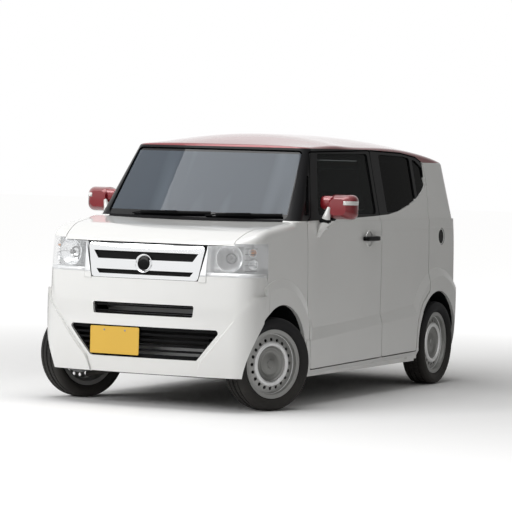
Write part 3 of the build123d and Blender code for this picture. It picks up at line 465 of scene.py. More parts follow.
def finish(name, colour, rough=0.4, metal=0.0, coat=0.0, grain_scale=80.0, grain=0.1, bump=0.02,
           dusty=0.0, dust_top=0.6, spec=0.5):
    """Principled material with uneven roughness, a fine bump and road dust."""
    made = bpy.data.materials.new(name)
    made.use_nodes = True
    tree = made.node_tree
    shader = principled(made)
    for label, value in (("Metallic", metal), ("Coat Weight", coat), ("Coat Roughness", 0.03),
                         ("Specular IOR Level", spec)):
        shader.inputs[label].default_value = value
    wobble = effect(tree, uneven, Scale=grain_scale, Amount=grain, Middle=rough)
    wire(tree, wobble["Value"], shader.inputs["Roughness"])
    raise_by(made, wobble["Height"], bump, 0.002)
    shade = put(tree, "ShaderNodeTexNoise", Scale=3.0)
    wire(tree, object_axes(tree)[0], shade.inputs["Vector"])
    dark = tuple(c * 0.96 for c in colour)
    tint = blend_colours(tree, shade.outputs[0], dark, tuple(colour))
    if dusty > 0.0:
        cover = effect(tree, dust, Top=dust_top, Strength=dusty)
        tint = blend_colours(tree, cover["Mask"], tint, dust_colour)
    wire(tree, tint, shader.inputs["Base Color"])
    return made


def mask_in(made, mask, colour):
    """Lay a second colour over the base where a mask says so."""
    base = principled(made).inputs["Base Color"]
    under = base.links[0].from_socket
    wire(made.node_tree, blend_colours(made.node_tree, mask, under, colour), base)


# %% Paints
pearl = (0.800, 0.800, 0.785)
white_paint = finish("pearl_white_paint", pearl, 0.30, coat=1.0, grain_scale=900.0, grain=0.12,
                     bump=0.015, dusty=0.10, dust_top=0.5)
red_paint = finish("dark_red_paint", (0.215, 0.006, 0.012), 0.30, metal=0.25, coat=1.0,
                   grain_scale=900.0, grain=0.15, bump=0.01)
side_paint = finish("pearl_white_with_black_band", pearl, 0.30, coat=1.0, grain_scale=900.0,
                    grain=0.12, bump=0.015, dusty=0.10, dust_top=0.5, spec=0.15)
stripe = effect(side_paint.node_tree, band, Edge=900.0)["Mask"]
mask_in(side_paint, stripe, blackest)
clear_coat = maths(side_paint.node_tree, "MULTIPLY_ADD", stripe, -0.97, 1.0)
wire(side_paint.node_tree, clear_coat, principled(side_paint).inputs["Coat Weight"])

# %% Plastics, metals and rubber
black_plastic = finish("satin_black_plastic", (0.006, 0.006, 0.0065), 0.50, grain_scale=500.0,
                       grain=0.2, bump=0.15, spec=0.07)
gloss_black = finish("gloss_black", (0.004, 0.004, 0.0045), 0.14, bump=0.0, spec=0.12)
trim_plastic = finish("grained_trim", (0.030, 0.029, 0.028), 0.55, grain_scale=700.0, grain=0.2,
                      bump=0.4, spec=0.25)
chrome = finish("bright_chrome", (0.86, 0.87, 0.88), 0.07, metal=1.0, grain_scale=40.0,
                grain=0.06, bump=0.004)
underbody = finish("underbody_paint", (0.020, 0.020, 0.021), 0.75, grain_scale=120.0, grain=0.3,
                   bump=0.5, dusty=0.25, dust_top=0.5, spec=0.15)
alloy = finish("cast_alloy", (0.42, 0.42, 0.42), 0.45, 1.0, 0.0, 300.0, 0.3, 0.5)
steel = finish("dull_steel", (0.30, 0.29, 0.27), 0.45, 1.0, 0.0, 60.0, 0.3, 0.2)
casting = finish("bare_casting", (0.10, 0.10, 0.10), 0.65, 0.6, 0.0, 200.0, 0.3, 0.6)
wheel_paint = finish("wheel_silver", (0.36, 0.36, 0.35), 0.40, 0.70, 0.0, 500.0, 0.15, 0.05)
bright_ring = finish("wheel_bright_ring", (0.90, 0.90, 0.90), 0.30, 0.30, 0.0, 300.0, 0.1, 0.02)
cap_paint = finish("wheel_cap_grey", (0.24, 0.24, 0.23), 0.36, 0.75, 0.0, 300.0, 0.1, 0.03)
reflector = finish("lamp_reflector", (0.90, 0.91, 0.92), 0.14, 0.75, 0.0, 30.0, 0.06, 0.01)
housing = finish("lamp_housing", (0.78, 0.79, 0.80), 0.30, 0.45, 0.0, 60.0, 0.06, 0.01)
smoked = finish("smoked_housing", (0.10, 0.10, 0.10), 0.30, 0.6, 0.0, 60.0, 0.15, 0.05)
clear_plastic = finish("clear_marker_lens", (0.80, 0.80, 0.78), 0.16, 0.0, 1.0, 200.0, 0.05, 0.02)
plate_paint = finish("plate_yellow", (0.72, 0.44, 0.055), 0.45, 0.0, 0.0, 200.0, 0.1, 0.05)
tail_red = finish("red_lens", (0.30, 0.006, 0.008), 0.08, coat=1.0, bump=0.0)
amber = finish("amber_lens", (0.65, 0.22, 0.02), 0.10, coat=1.0, bump=0.0)
mirror_face = finish("mirror_glass", (0.75, 0.77, 0.78), 0.02, metal=1.0, grain=0.0, bump=0.0)
print("finishes:", [made.name for made in bpy.data.materials if made.use_nodes])


# %% [markdown]
# ## Glass
# Car glass is thin and lightly tinted. A Principled shader with full transmission shows
# the cabin through it, and a dark print hides the glue along the edges of the screen.

# %% Glass
def glass(name, colour, clear, ior=1.45):
    """Tinted glass with a plain transmission weight."""
    made = bpy.data.materials.new(name)
    made.use_nodes = True
    for label, value in (("Base Color", (*colour, 1.0)), ("Transmission Weight", clear),
                         ("Roughness", 0.0), ("IOR", ior)):
        principled(made).inputs[label].default_value = value
    return made


side_glass = glass("side_window_glass", (0.10, 0.11, 0.11), 0.92, 1.13)
privacy_glass = glass("privacy_glass", (0.006, 0.0065, 0.007), 0.80, 1.13)
lens_glass = finish("lamp_lens", (0.95, 0.96, 0.97), 0.05, 0.0, 1.0, 60.0, 0.02, 0.01)
principled(lens_glass).inputs["Alpha"].default_value = 0.14

# %% Screen glass with its dark print and soft light streaks of painted reflection
screen_tint = (0.085, 0.108, 0.138)
# Colour of the light streaks of painted reflection on the screen.
painted_reflection_tint = (0.165, 0.200, 0.240)
print_bottom, print_top = 1.172, 1.540
print_sharpness = 300.0
screen_glass = glass("windscreen_glass", screen_tint, 0.40)
tree = screen_glass.node_tree
place, axes = object_axes(tree)
half_at = maths(tree, "MULTIPLY_ADD", axes["Z"], -0.118, 0.745)
outside = maths(tree, "SUBTRACT", maths(tree, "ABSOLUTE", axes["X"]), half_at)
edge_x = maths(tree, "MULTIPLY_ADD", outside, print_sharpness, 0.5, clamp=True)
under = maths(tree, "SUBTRACT", print_bottom, axes["Z"])
over = maths(tree, "SUBTRACT", axes["Z"], print_top)
edge_low = maths(tree, "MULTIPLY", under, print_sharpness, clamp=True)
edge_top = maths(tree, "MULTIPLY", over, print_sharpness, clamp=True)
edge = maths(tree, "MAXIMUM", maths(tree, "MAXIMUM", edge_x, edge_low), edge_top)
# Light diagonal streaks mixed into the glass colour are painted reflection of the surroundings.
streaks = put(tree, "ShaderNodeMapping", Rotation=(0.0, 0.0, 0.25), Scale=(9.0, 1.2, 1.2))
wire(tree, place, streaks.inputs["Vector"])
reflection_streak_noise = put(tree, "ShaderNodeTexNoise", Scale=0.8, Detail=1.0, Roughness=0.4)
wire(tree, streaks.outputs[0], reflection_streak_noise.inputs["Vector"])
painted_reflection_mask = maths(tree, "MULTIPLY", maths(tree, "SUBTRACT", reflection_streak_noise.outputs[0], 0.48), 3.2, clamp=True)
screen_with_painted_reflection = blend_colours(tree, painted_reflection_mask, screen_tint, painted_reflection_tint)
printed = blend_colours(tree, edge, screen_with_painted_reflection, blackest)
wire(tree, printed, principled(screen_glass).inputs["Base Color"])

# %% [markdown]
# ## Fabric
# Seat cloth is a fine weave: two crossed waves make the threads.

# %% Seat cloth
thread_scale = 260.0
seat_cloth = finish("seat_cloth", (0.050, 0.048, 0.047), 0.85, grain_scale=400.0, grain=0.1,
                    bump=0.2)
tree = seat_cloth.node_tree
place = object_axes(tree)[0]
weave_a = put(tree, "ShaderNodeTexWave", Scale=thread_scale)
weave_b = put(tree, "ShaderNodeTexWave", Scale=thread_scale)
weave_b.bands_direction = "Z"
for weave in (weave_a, weave_b):
    wire(tree, place, weave.inputs["Vector"])
threads = maths(tree, "ADD", weave_a.outputs[1], weave_b.outputs[1])
raise_by(seat_cloth, threads, 0.5, 0.001)

# %% [markdown]
# ## Materials onto the CAD nodes
# A node whose shape is right only needs its material.

# %% Dress the CAD nodes
looks = {name: material for material, names in (
    (red_paint, "roof_panel mirror_left mirror_right"),
    (white_paint, "bonnet front_bumper rear_bumper tailgate fenders"),
    (side_paint, "body_side_left body_side_right front_door_left front_door_right"
                 " rear_door_left rear_door_right"),
    (screen_glass, "windscreen"),
    (side_glass, "quarter_glass front_door_glass_left front_door_glass_right"),
    (privacy_glass, "tailgate_glass rear_door_glass_left rear_door_glass_right"),
    (lens_glass, "headlamps"), (tail_red, "tail_lamps"), (chrome, "chrome_grille"),
    (black_plastic, "cowl grille_mesh bumper_grilles fuel_tank wheel_houses"
                    " tyre_front_left tyre_front_right tyre_rear_left tyre_rear_right"),
    (gloss_black, "fuel_lid"), (plate_paint, "front_plate rear_plate"),
    (underbody, "floor_pan front_frame rear_axle"), (alloy, "engine"), (steel, "exhaust"),
    (casting, "knuckle_left knuckle_right"), (trim_plastic, "dashboard steering_wheel"),
    (seat_cloth, "seats"),
    (wheel_paint, "wheel_front_left wheel_front_right wheel_rear_left wheel_rear_right"),
) for name in names.split()}
for name, node in nodes.items():
    node.data.materials.clear()
    node.data.materials.append(looks[name])
print("dressed", len(looks), "nodes")

# %% [markdown]
# ## Tyres
# A tyre is a rounded section turned about its axle. The tread has three grooves all round,
# and a UV map along and across the tread lets the rubber's fine cuts follow it.

# %% Rubber
sipes_round = 76.0
rubber = finish("tyre_rubber", (0.014, 0.014, 0.015), 0.66, grain_scale=300.0, grain=0.15, bump=0.1,
                dusty=0.12, dust_top=0.5, spec=0.18)
tree = rubber.node_tree
around = put(tree, "ShaderNodeUVMap", uv_map="around")
split = tree.nodes.new("ShaderNodeSeparateXYZ")
wire(tree, around.outputs[0], split.inputs[0])
off_middle = maths(tree, "ABSOLUTE", maths(tree, "SUBTRACT", split.outputs["Y"], 0.5))
slant = maths(tree, "ADD", maths(tree, "MULTIPLY", split.outputs["X"], sipes_round),
              maths(tree, "MULTIPLY", off_middle, 3.0))
saw = maths(tree, "FRACT", slant)
cut = maths(tree, "MULTIPLY", maths(tree, "SUBTRACT", 0.14, saw), 18.0, clamp=True)
tread = maths(tree, "MULTIPLY", maths(tree, "SUBTRACT", 0.22, off_middle), 60.0, clamp=True)
cut_depth_and_painted_shade = maths(tree, "MULTIPLY", cut, tread)
raise_by(rubber, cut_depth_and_painted_shade, 1.0, 0.004, invert=True)
# The same mask also paints the cuts darker than the rubber: painted shade in the sipes.
mask_in(rubber, cut_depth_and_painted_shade, (0.004, 0.004, 0.004))

# %% Tyre surfaces
outer = [
    (-0.0510, 0.1915), (-0.0533, 0.209), (-0.0600, 0.213), (-0.0690, 0.219), (-0.0760, 0.227),
    (-0.0800, 0.236), (-0.0815, 0.243), (-0.0818, 0.250), (-0.0800, 0.259), (-0.0768, 0.267),
    (-0.0735, 0.271), (-0.0690, 0.2745), (-0.0610, 0.2780), (-0.0500, 0.2800), (-0.0420, 0.2806),
    (-0.0405, 0.2740), (-0.0345, 0.2740), (-0.0330, 0.2809),
    (-0.0080, 0.2810), (-0.0062, 0.2740), (0.0, 0.2740),
]
profile = outer + [(-a, r) for a, r in outer[-2::-1]]
inner = [(0.0440, 0.1915), (0.045, 0.208), (0.064, 0.226), (0.070, 0.242), (0.060, 0.266)]
profile += inner + [(-a, r) for a, r in inner[::-1]]
steer = math.radians(-24.0)
kingpin_foot, kingpin_lean, hub_above_foot = 0.600, 0.130 / 0.670, 0.111
kingpin_x = kingpin_foot - kingpin_lean * hub_above_foot
hub_out = track / 2 - kingpin_x
hub_x = kingpin_x + hub_out * math.cos(steer)
hub_swing = hub_out * math.sin(steer)
hubs = {
    "front_left": ((hub_x, front_axle_y + hub_swing, tyre_radius),
                   (math.cos(steer), math.sin(steer), 0.0)),
    "front_right": ((-hub_x, front_axle_y - hub_swing, tyre_radius),
                    (-math.cos(steer), -math.sin(steer), 0.0)),
    "rear_left": ((track / 2, rear_axle_y, tyre_radius), (1.0, 0.0, 0.0)),
    "rear_right": ((-track / 2, rear_axle_y, tyre_radius), (-1.0, 0.0, 0.0)),
}
tyre_steps = 240
for corner, (hub, axle) in hubs.items():
    tyre = turned("tyre_tread_" + corner, profile, hub, axle, tyre_steps)
    ring = np.repeat(np.arange(tyre_steps), len(profile)) / tyre_steps
    across = np.tile(np.array(profile)[:, 0] / tyre_width + 0.5, tyre_steps)
    corners = np.zeros(len(tyre.data.loops), np.int32)
    tyre.data.loops.foreach_get("vertex_index", corners)
    layer = tyre.data.uv_layers.new(name="around")
    u = ring[corners].reshape(-1, 4)
    u = np.where((u.max(1, keepdims=True) - u) > 0.5, u + 1.0, u).ravel()
    layer.data.foreach_set("uv", np.stack([u, across[corners]], -1).ravel().astype(np.float32))
    tyre.data.set_sharp_from_angle(angle=math.radians(40.0))
    dress(tyre, rubber, "roll_" + corner, "tyre_rubber", "tyre_" + corner)
    print("tyre", corner, "at", np.round(hub, 4), "faces:", len(tyre.data.polygons))

# %% [markdown]
# ## Wheel trims
# A bright ring stands round the dished centre cap, and the cap has fine turned steps.

# %% Rings and caps
trims = (
    ("ring", bright_ring, [
        (0.0300, 0.1060), (0.0430, 0.1080), (0.0485, 0.1130), (0.0500, 0.1210), (0.0480, 0.1290),
        (0.0430, 0.1345), (0.0360, 0.1365), (0.0300, 0.1340)]),
    ("lip", bright_ring, [
        (0.0300, 0.1785), (0.0345, 0.1790), (0.0360, 0.1815), (0.0340, 0.1840), (0.0290, 0.1835)]),
    ("cap", cap_paint, [
        (0.0200, 0.1070), (0.0400, 0.1070), (0.0420, 0.1040), (0.0400, 0.1000), (0.0340, 0.0960),
        (0.0310, 0.0860), (0.0322, 0.0840), (0.0305, 0.0820), (0.0290, 0.0680), (0.0302, 0.0660),
        (0.0290, 0.0640), (0.0300, 0.0520), (0.0312, 0.0440), (0.0330, 0.0360), (0.0345, 0.0280),
        (0.0390, 0.0250), (0.0400, 0.0200), (0.0395, 0.0002), (0.0310, 0.0002), (0.0250, 0.0200),
        (0.0200, 0.0900)]),
)
for corner, (hub, axle) in hubs.items():
    for part, material, outline in trims:
        trim = turned("wheel_%s_%s" % (part, corner), outline, hub, axle, 120)
        dress(tidy(trim), material, "roll_" + corner, "wheel_steel")
print("wheel trims:", len(hubs) * len(trims))

# %% [markdown]
# ## Headlamps
# A headlamp is a clear shell over a bright housing. The shell is copied from the lamp's own
# front skin and the housing from the faces behind it, turned to look outwards. Inside stand
# a deep round reflector with its bulb shield and a small marker bowl.

# %% Lamp shells and housings
fin_count, lowest_fin, fin_pitch = 5, 0.842, 0.033


def bowl(name, centre, facing, radius, cut_depth_and_painted_shade, steps=96):
    """Parabola depth * (r / radius)^2 turned about its axis, with a rolled rim."""
    r = np.linspace(0.0004, radius, 18)
    profile = list(zip(cut_depth_and_painted_shade * (r / radius) ** 2 - cut_depth_and_painted_shade, r))
    profile += [(0.0030, radius + 0.0015), (0.0030, radius + 0.0050), (-0.0020, radius + 0.0060)]
    back = [(cut_depth_and_painted_shade * (q / radius) ** 2 - cut_depth_and_painted_shade - 0.003, q) for q in np.linspace(radius, 0.0004, 8)]
    return dress(tidy(turned(name, profile + back, centre, facing, steps), 40.0),
                 reflector, "shell", "chrome")


for side, sign in sides:
    def front_facing(normal, spot):
        outwards = normal.x * sign * 0.6 - normal.y * 0.8
        return spot.x * sign > 0 and outwards > 0.35 and abs(normal.z) < 0.8

    def behind(normal, spot):
        return spot.x * sign > 0 and not front_facing(normal, spot)

    lens = skin_patch("headlamp_lens_" + side, "headlamps", front_facing, thick=0.0025)
    dress(lens, lens_glass, "shell", "lamp_glass", "headlamps")
    shell = skin_patch("headlamp_housing_" + side, "headlamps", behind, lift=0.0006,
                       inside_out=True)
    dress(shell, housing, "shell", "lamp_glass", "headlamps")
    facing = np.array([0.22 * sign, -0.97, 0.02])
    facing /= np.linalg.norm(facing)
    centre = np.array([0.536 * sign, -1.612, 0.9135])
    bowl("headlamp_bowl_" + side, centre, facing, 0.077, 0.050)
    for part, steps, outline in (
            ("shield", 48, [(-0.030, 0.012), (-0.014, 0.016), (-0.004, 0.0145), (0.000, 0.009),
                            (0.001, 0.0002), (-0.030, 0.0002)]),
            ("collar", 64, [(-0.046, 0.030), (-0.040, 0.034), (-0.037, 0.033), (-0.040, 0.026),
                            (-0.047, 0.024)])):
        cover = turned("headlamp_%s_%s" % (part, side), outline, centre, facing, steps)
        dress(tidy(cover), smoked, "shell", "chrome")
    outer_facing = np.array([0.62 * sign, -0.78, 0.02])
    marker_spot = np.array([0.654 * sign, -1.545, 0.9500])
    bowl("marker_bowl_" + side, marker_spot, outer_facing, 0.021, 0.016, 48)
    bulb = turned("marker_bulb_" + side, [
        (-0.010, 0.0060), (0.000, 0.0075), (0.008, 0.0060), (0.011, 0.0002), (-0.010, 0.0002)],
        marker_spot, outer_facing, 32)
    dress(tidy(bulb), amber, "shell", "tail_lamp_red")
    turn_spot = np.array([0.658 * sign, -1.541, 0.8800])
    bowl("turn_bowl_" + side, turn_spot, outer_facing, 0.024, 0.018, 48)
    for rank in range(fin_count):
        fin_z = lowest_fin + rank * fin_pitch
        fin_line = smooth_path([(0.622 * sign, -1.585, fin_z), (0.640 * sign, -1.566, fin_z),
                                (0.672 * sign, -1.520, fin_z)], 12)
        fin = carried("lamp_fin_%s_%d" % (side, rank), fin_line, ring_section(0.0022, 8))
        dress(tidy(fin), smoked, "shell", "chrome")

# %% Lamp skirts beside the grille and under the shell
skirt_start, skirt_edge, skirt_taper = 0.4105, 0.4110, 0.043
skirt_top, skirt_rise = 0.988, 0.185
probe_x, probe_low, probe_high = 0.432, 0.84, 0.97


def beside_grille(name, sign, z, lift):
    """Sheet from the grille's slanted end to the lamp, on the straight line of the lamp's face.

    Its inner edge is at x = start - taper * (top - z) / rise, and y falls 0.125 per x inwards.
    """
    z = z[:, None]
    seen = [on_skin("headlamps", (probe_x * sign, -ray_start, height), (0.0, 1.0, 0.0))[0][1]
            for height in (probe_low, probe_high)]
    front = seen[0] + (seen[1] - seen[0]) * (z - probe_low) / (probe_high - probe_low)
    inner = skirt_start - skirt_taper * (skirt_top - z) / skirt_rise
    x = inner + (skirt_edge - inner) * np.linspace(0.0, 1.0, 8)[None, :]
    return walled_grid(name, x * sign, front - 0.125 * (probe_x - x) - lift, z)


for side, sign in sides:
    skirt = beside_grille("headlamp_skirt_" + side, sign, np.linspace(0.803, skirt_top, 24), 0.0012)
    dress(skirt, housing, "shell", "lamp_glass")
    cheek = beside_grille("bumper_cheek_" + side, sign, np.linspace(0.7655, 0.8040, 8), 0.0004)
    dress(cheek, white_paint, "shell", "white_paint")
    foot = skin_patch(
        "headlamp_foot_" + side, "front_bumper",
        lambda normal, spot: normal.y < -0.25 or normal.x * sign > 0.5,
        [((0, 0, 0.8045), (0, 0, 1)), ((0.4100 * sign, 0, 0), (sign, 0, 0)),
         ((0, -1.4480, 0), (0, -1, 0))],
        thick=0.002, lift=0.0012)
    dress(foot, housing, "shell", "lamp_glass")

# %% [markdown]
# ## Front corner fillers
# Between the slanted rear edge of the front bumper and the upright front edge of each fender
# a narrow three-cornered filler closes the side. Its foot follows the wheel arch's circle and
# its surface runs straight from the bumper's skin to the fender's, found by rays.

# %% Corner fillers
fender_edge, filler_top, arch_meets_fender = -1.4430, 0.7900, 0.632
slant_y, slant_z, slant_slope = -1.4540, 0.7800, 0.2575


def skin_x(node, sign, y, z):
    """How far out a node's skin lies at a place on the car's side."""
    return on_skin(node, (ray_start * sign, y, z), (-sign, 0.0, 0.0))[0][0]


for side, sign in sides:
    foot_y = np.linspace(-1.4975, fender_edge, 6)
    foot_z = tyre_radius + np.sqrt(arch_radius ** 2 - (foot_y - front_axle_y) ** 2)
    z = foot_z + (filler_top - foot_z) * np.linspace(0.0, 1.0, 16)[:, None]
    u = np.linspace(0.0, 1.0, 6)
    slant = slant_y - slant_slope * (slant_z - z)
    y = slant + (fender_edge - slant) * u
    near = np.array([skin_x("front_bumper", sign, spot_y - 0.0065, spot_z)
                     for spot_y, spot_z in zip(slant[:, 0], z[:, 0])])
    far = np.array([skin_x("fenders", sign, fender_edge + 0.003, max(height, arch_meets_fender))
                    for height in z[:, -1]])
    x = near[:, None] * (1.0 - u) + far[:, None] * u
    filler = walled_grid("corner_filler_" + side, x, y, z)
    dress(filler, white_paint, "shell", "white_paint")
    print("filler", side, "height:", round(float(np.ptp(z)), 3), "width:", round(float(np.ptp(y)), 3))

# %% [markdown]
# ## Tail lamps
# The tail lamps are red shells with a clear band for the reversing lamp. Their skin is kept;
# fine level ribs and a pale band are laid into its material.

# %% Tail lamp ribs and band
band_bottom, band_top, band_sharpness = 0.785, 0.845, 400.0
tree = tail_red.node_tree
height = object_axes(tree)[1]["Z"]
over = maths(tree, "SUBTRACT", height, band_bottom)
under = maths(tree, "SUBTRACT", band_top, height)
above_low = maths(tree, "MULTIPLY", over, band_sharpness, clamp=True)
below_top = maths(tree, "MULTIPLY", under, band_sharpness, clamp=True)
mask_in(tail_red, maths(tree, "MULTIPLY", above_low, below_top), (0.70, 0.68, 0.66))
ribs = maths(tree, "PINGPONG", maths(tree, "MULTIPLY", height, 160.0), 0.5)
raise_by(tail_red, ribs, 0.5, 0.002)
print("lamps made")

# %% [markdown]
# ## Door mirrors
# Each red mirror head has a clear marker strip at its outer end and a flat mirror face at
# the back. It stands on a pale cone with a black joint and a white foot on the door.

# %% Mirror trim
foot_rings, foot_sides = 14, 20
for side, sign in sides:
    body = "front_door_%s_body" % side
    strip = skin_patch(
        "mirror_marker_" + side, "mirror_" + side,
        lambda normal, spot: normal.y < 0.5,
        [((0, 0, 1.2360), (0, 0, 1)), ((0, 0, 1.2600), (0, 0, -1)),
         ((0.878 * sign, 0, 0), (sign, 0, 0))],
        thick=0.002, lift=0.0012)
    dress(strip, clear_plastic, body, "lamp_glass")
    face = rounded_block("mirror_face_" + side, (0.845 * sign, -0.6345, 1.222),
                         (0.146, 0.0060, 0.124), 6.0)
    dress(face, mirror_face, body, "chrome")
    root = rounded_block("mirror_root_" + side, (0.768 * sign, -0.690, 1.246),
                         (0.120, 0.080, 0.088), 4.0)
    dress(root, red_paint, body, "red_paint")
    cone = turned("mirror_cone_" + side, [
        (0.000, 0.0002), (0.000, 0.0250), (0.006, 0.0262), (0.030, 0.0205), (0.058, 0.0140),
        (0.076, 0.0105), (0.080, 0.0002)],
        (0.763 * sign, -0.742, 1.146), (0.26 * sign, -0.02, 0.96), 48)
    dress(tidy(cone), white_paint, body, "white_paint")
    joint = rounded_block("mirror_joint_" + side, (0.755 * sign, -0.735, 1.134),
                          (0.070, 0.056, 0.026), 3.5)
    dress(joint, black_plastic, body, "black_plastic")
    foot_line = smooth_path([
        (0.756 * sign, -0.732, 1.128), (0.744 * sign, -0.736, 1.102), (0.730 * sign, -0.744, 1.070),
        (0.718 * sign, -0.754, 1.034)], foot_rings)
    foot = carried("mirror_foot_" + side, foot_line, ring_section(1.0, foot_sides),
                   (sign, 0.0, 0.3))
    radius = np.repeat(np.linspace(0.0300, 0.0110, foot_rings), foot_sides)[:, None]
    spine = np.repeat(foot_line, foot_sides, axis=0)
    points = spine + (read_points(foot.data) - spine) * radius
    foot.data.vertices.foreach_set("co", points.ravel().astype(np.float32))
    dress(tidy(foot), white_paint, body, "white_paint")

# %% [markdown]
# ## Door handles
# The grip of a front door is a dark bar round the handle of the door's own panel. A thin
# raised ring marks the round cup behind it.

# %% Grips and cups
grip_y, grip_z = 0.059, 1.012
for side, sign in sides:
    node = "front_door_" + side
    spot = (sign * ray_start, grip_y + 0.01, grip_z - 0.045)
    skin, way = on_skin(node, spot, (-sign, 0.0, 0.0))
    grip = rounded_block("grip_" + node, (skin[0] + 0.0165 * sign, grip_y, grip_z),
                         (0.040, 0.226, 0.033), 5.0)
    dress(grip, gloss_black, node + "_body", "black_plastic")
    cup = turned("cup_" + node, [
        (0.0000, 0.0460), (0.0030, 0.0480), (0.0036, 0.0500), (0.0028, 0.0520),
        (-0.0020, 0.0535), (-0.0030, 0.0480)],
        (skin[0] + 0.0004 * sign, grip_y - 0.005, grip_z - 0.002), way, 64)
    dress(tidy(cup), white_paint, node + "_body", "white_paint")
    print("door skin behind the grip, x:", round(float(skin[0]), 4))

# %% [markdown]
# ## Wipers
# Two wipers rest at the foot of the screen: a slim arm from its lower edge and a rubber blade.
# The blade follows the glass, found by rays, 14 mm in front of it.

# %% Wiper arms and blades
def blade_path(node, xs, zs, gap, way):
    """Points on a node's skin along a line of (x, z) stations, lifted off it by a gap."""
    spots = []
    for x, z in zip(xs, zs):
        hit, facing = on_skin(node, (x, -ray_start * way, z), (0.0, way, 0.0))
        spots.append(hit + facing * gap)
    return np.array(spots)


blade_section = np.array([(-0.006, -0.009), (0.006, -0.009), (0.009, 0.0), (0.005, 0.009),
                          (-0.005, 0.009), (-0.009, 0.0)])
arm_section = np.array([(-0.007, -0.004), (0.007, -0.004), (0.007, 0.004), (-0.007, 0.004)])
blade_low, blade_high, blade_gap = 1.150, 1.158, 0.014
for number, (x_low, x_high, foot_x) in enumerate(((-0.36, 0.13, -0.42), (0.17, 0.585, 0.10))):
    spots = blade_path("windscreen", np.linspace(x_low, x_high, 12),
                       np.linspace(blade_low, blade_high, 12), blade_gap, 1.0)
    blade = carried("wiper_blade_%d" % number, spots, blade_section)
    dress(tidy(blade), black_plastic, "shell", "black_plastic")
    middle = spots[6] + np.array([0.0, -0.010, 0.008])
    start = blade_path("windscreen", [foot_x], [1.1445], 0.010, 1.0)[0]
    between = (start + middle) / 2 + np.array([0.0, -0.004, 0.006])
    arm = carried("wiper_arm_%d" % number, smooth_path([start, between, middle], 16), arm_section)
    dress(tidy(arm), black_plastic, "shell", "black_plastic")
    print("wiper", number, "blade from", np.round(spots[0], 3), "to", np.round(spots[-1], 3))

# %% [markdown]
# ## Grille boss, plate screws and fuel lid rim
# Where a badge would go the chrome bar has a plain raised boss. Each plate has two screws,
# and the round fuel lid has a white rim.

# %% Small fittings
boss_spot, boss_way = on_skin("chrome_grille", (0.0, -ray_start, 0.865), (0.0, 1.0, 0.0))
boss = turned("grille_boss", [
    (-0.012, 0.0002), (-0.012, 0.0560), (0.000, 0.0580), (0.0060, 0.0560), (0.0075, 0.0520),
    (0.0040, 0.0480), (0.0000, 0.0440), (-0.0010, 0.0002)],
    boss_spot + np.array([0.0, 0.003, 0.0]), boss_way, 96)
dress(tidy(boss), chrome, "shell", "chrome")
centre_disc = turned("grille_boss_centre", [
    (-0.004, 0.0002), (-0.004, 0.0440), (0.0010, 0.0438), (0.0030, 0.0400), (0.0042, 0.0250),
    (0.0046, 0.0002)],
    boss_spot + np.array([0.0, 0.0025, 0.0]), boss_way, 96)
dress(tidy(centre_disc), gloss_black, "shell", "black_plastic")
for node, xs, z, way, body in (("front_plate", (-0.250, -0.110), 0.458, 1.0, "shell"),
                               ("rear_plate", (-0.075, 0.075), 0.962, -1.0, "tailgate_body")):
    for number, x in enumerate(xs):
        spot, facing = on_skin(node, (x, -ray_start * way, z), (0.0, way, 0.0))
        screw = turned("%s_screw_%d" % (node, number), [
            (-0.002, 0.0002), (-0.002, 0.0065), (0.0015, 0.0060), (0.0030, 0.0035),
            (0.0032, 0.0002)], spot, facing, 24)
        dress(tidy(screw), steel, body, "chrome")
rim_spot, rim_way = on_skin("fuel_lid", (ray_start, 1.318, 1.005), (-1.0, 0.0, 0.0))
rim = turned("fuel_lid_rim", [
    (-0.002, 0.0480), (0.0022, 0.0490), (0.0030, 0.0515), (0.0022, 0.0545), (-0.002, 0.0552)],
    rim_spot, rim_way, 72)
dress(tidy(rim), white_paint, "fuel_lid_body", "white_paint")
print("boss at", np.round(boss_spot, 3), "lid rim at", np.round(rim_spot, 3))

# %% [markdown]
# ## Tailgate fittings
# The tailgate has a black handle bar over the plate and a short wiper on its glass.

# %% Handle bar and rear wiper
bar_spots = blade_path("tailgate", np.linspace(-0.23, 0.23, 16), np.full(16, 1.020), 0.004, -1.0)
bar_section = np.array([(-0.010, -0.020), (0.006, -0.020), (0.011, -0.012), (0.011, 0.012),
                        (0.006, 0.020), (-0.010, 0.020)])
handle_bar = carried("tailgate_handle", bar_spots, bar_section)
dress(tidy(handle_bar), gloss_black, "tailgate_body", "black_plastic")
rear_spots = blade_path("tailgate_glass", np.linspace(-0.30, 0.06, 10),
                        np.linspace(1.195, 1.205, 10), 0.012, -1.0)
rear_blade = carried("rear_wiper_blade", rear_spots, blade_section)
dress(tidy(rear_blade), black_plastic, "tailgate_body", "black_plastic")
print("tailgate bar at", np.round(bar_spots.mean(0), 3))

# %% [markdown]
# ## Cabin
# Seats are padded: a crowned cushion, a leaning back and a headrest on two posts. The back
# and cushion pull in at the corners, and the cushion has sewn channels. A mirror hangs from the
# screen.

# %% Seats
floor_top, seat_x = 0.272, 0.300
rows = (("front", -0.330, 0.600, 1.150), ("rear", 0.560, 0.620, 1.110))


def upholster(piece):
    """Dress a padded piece of a seat in cloth."""
    dress(piece, seat_cloth, "shell", "seat_fabric", "seats")


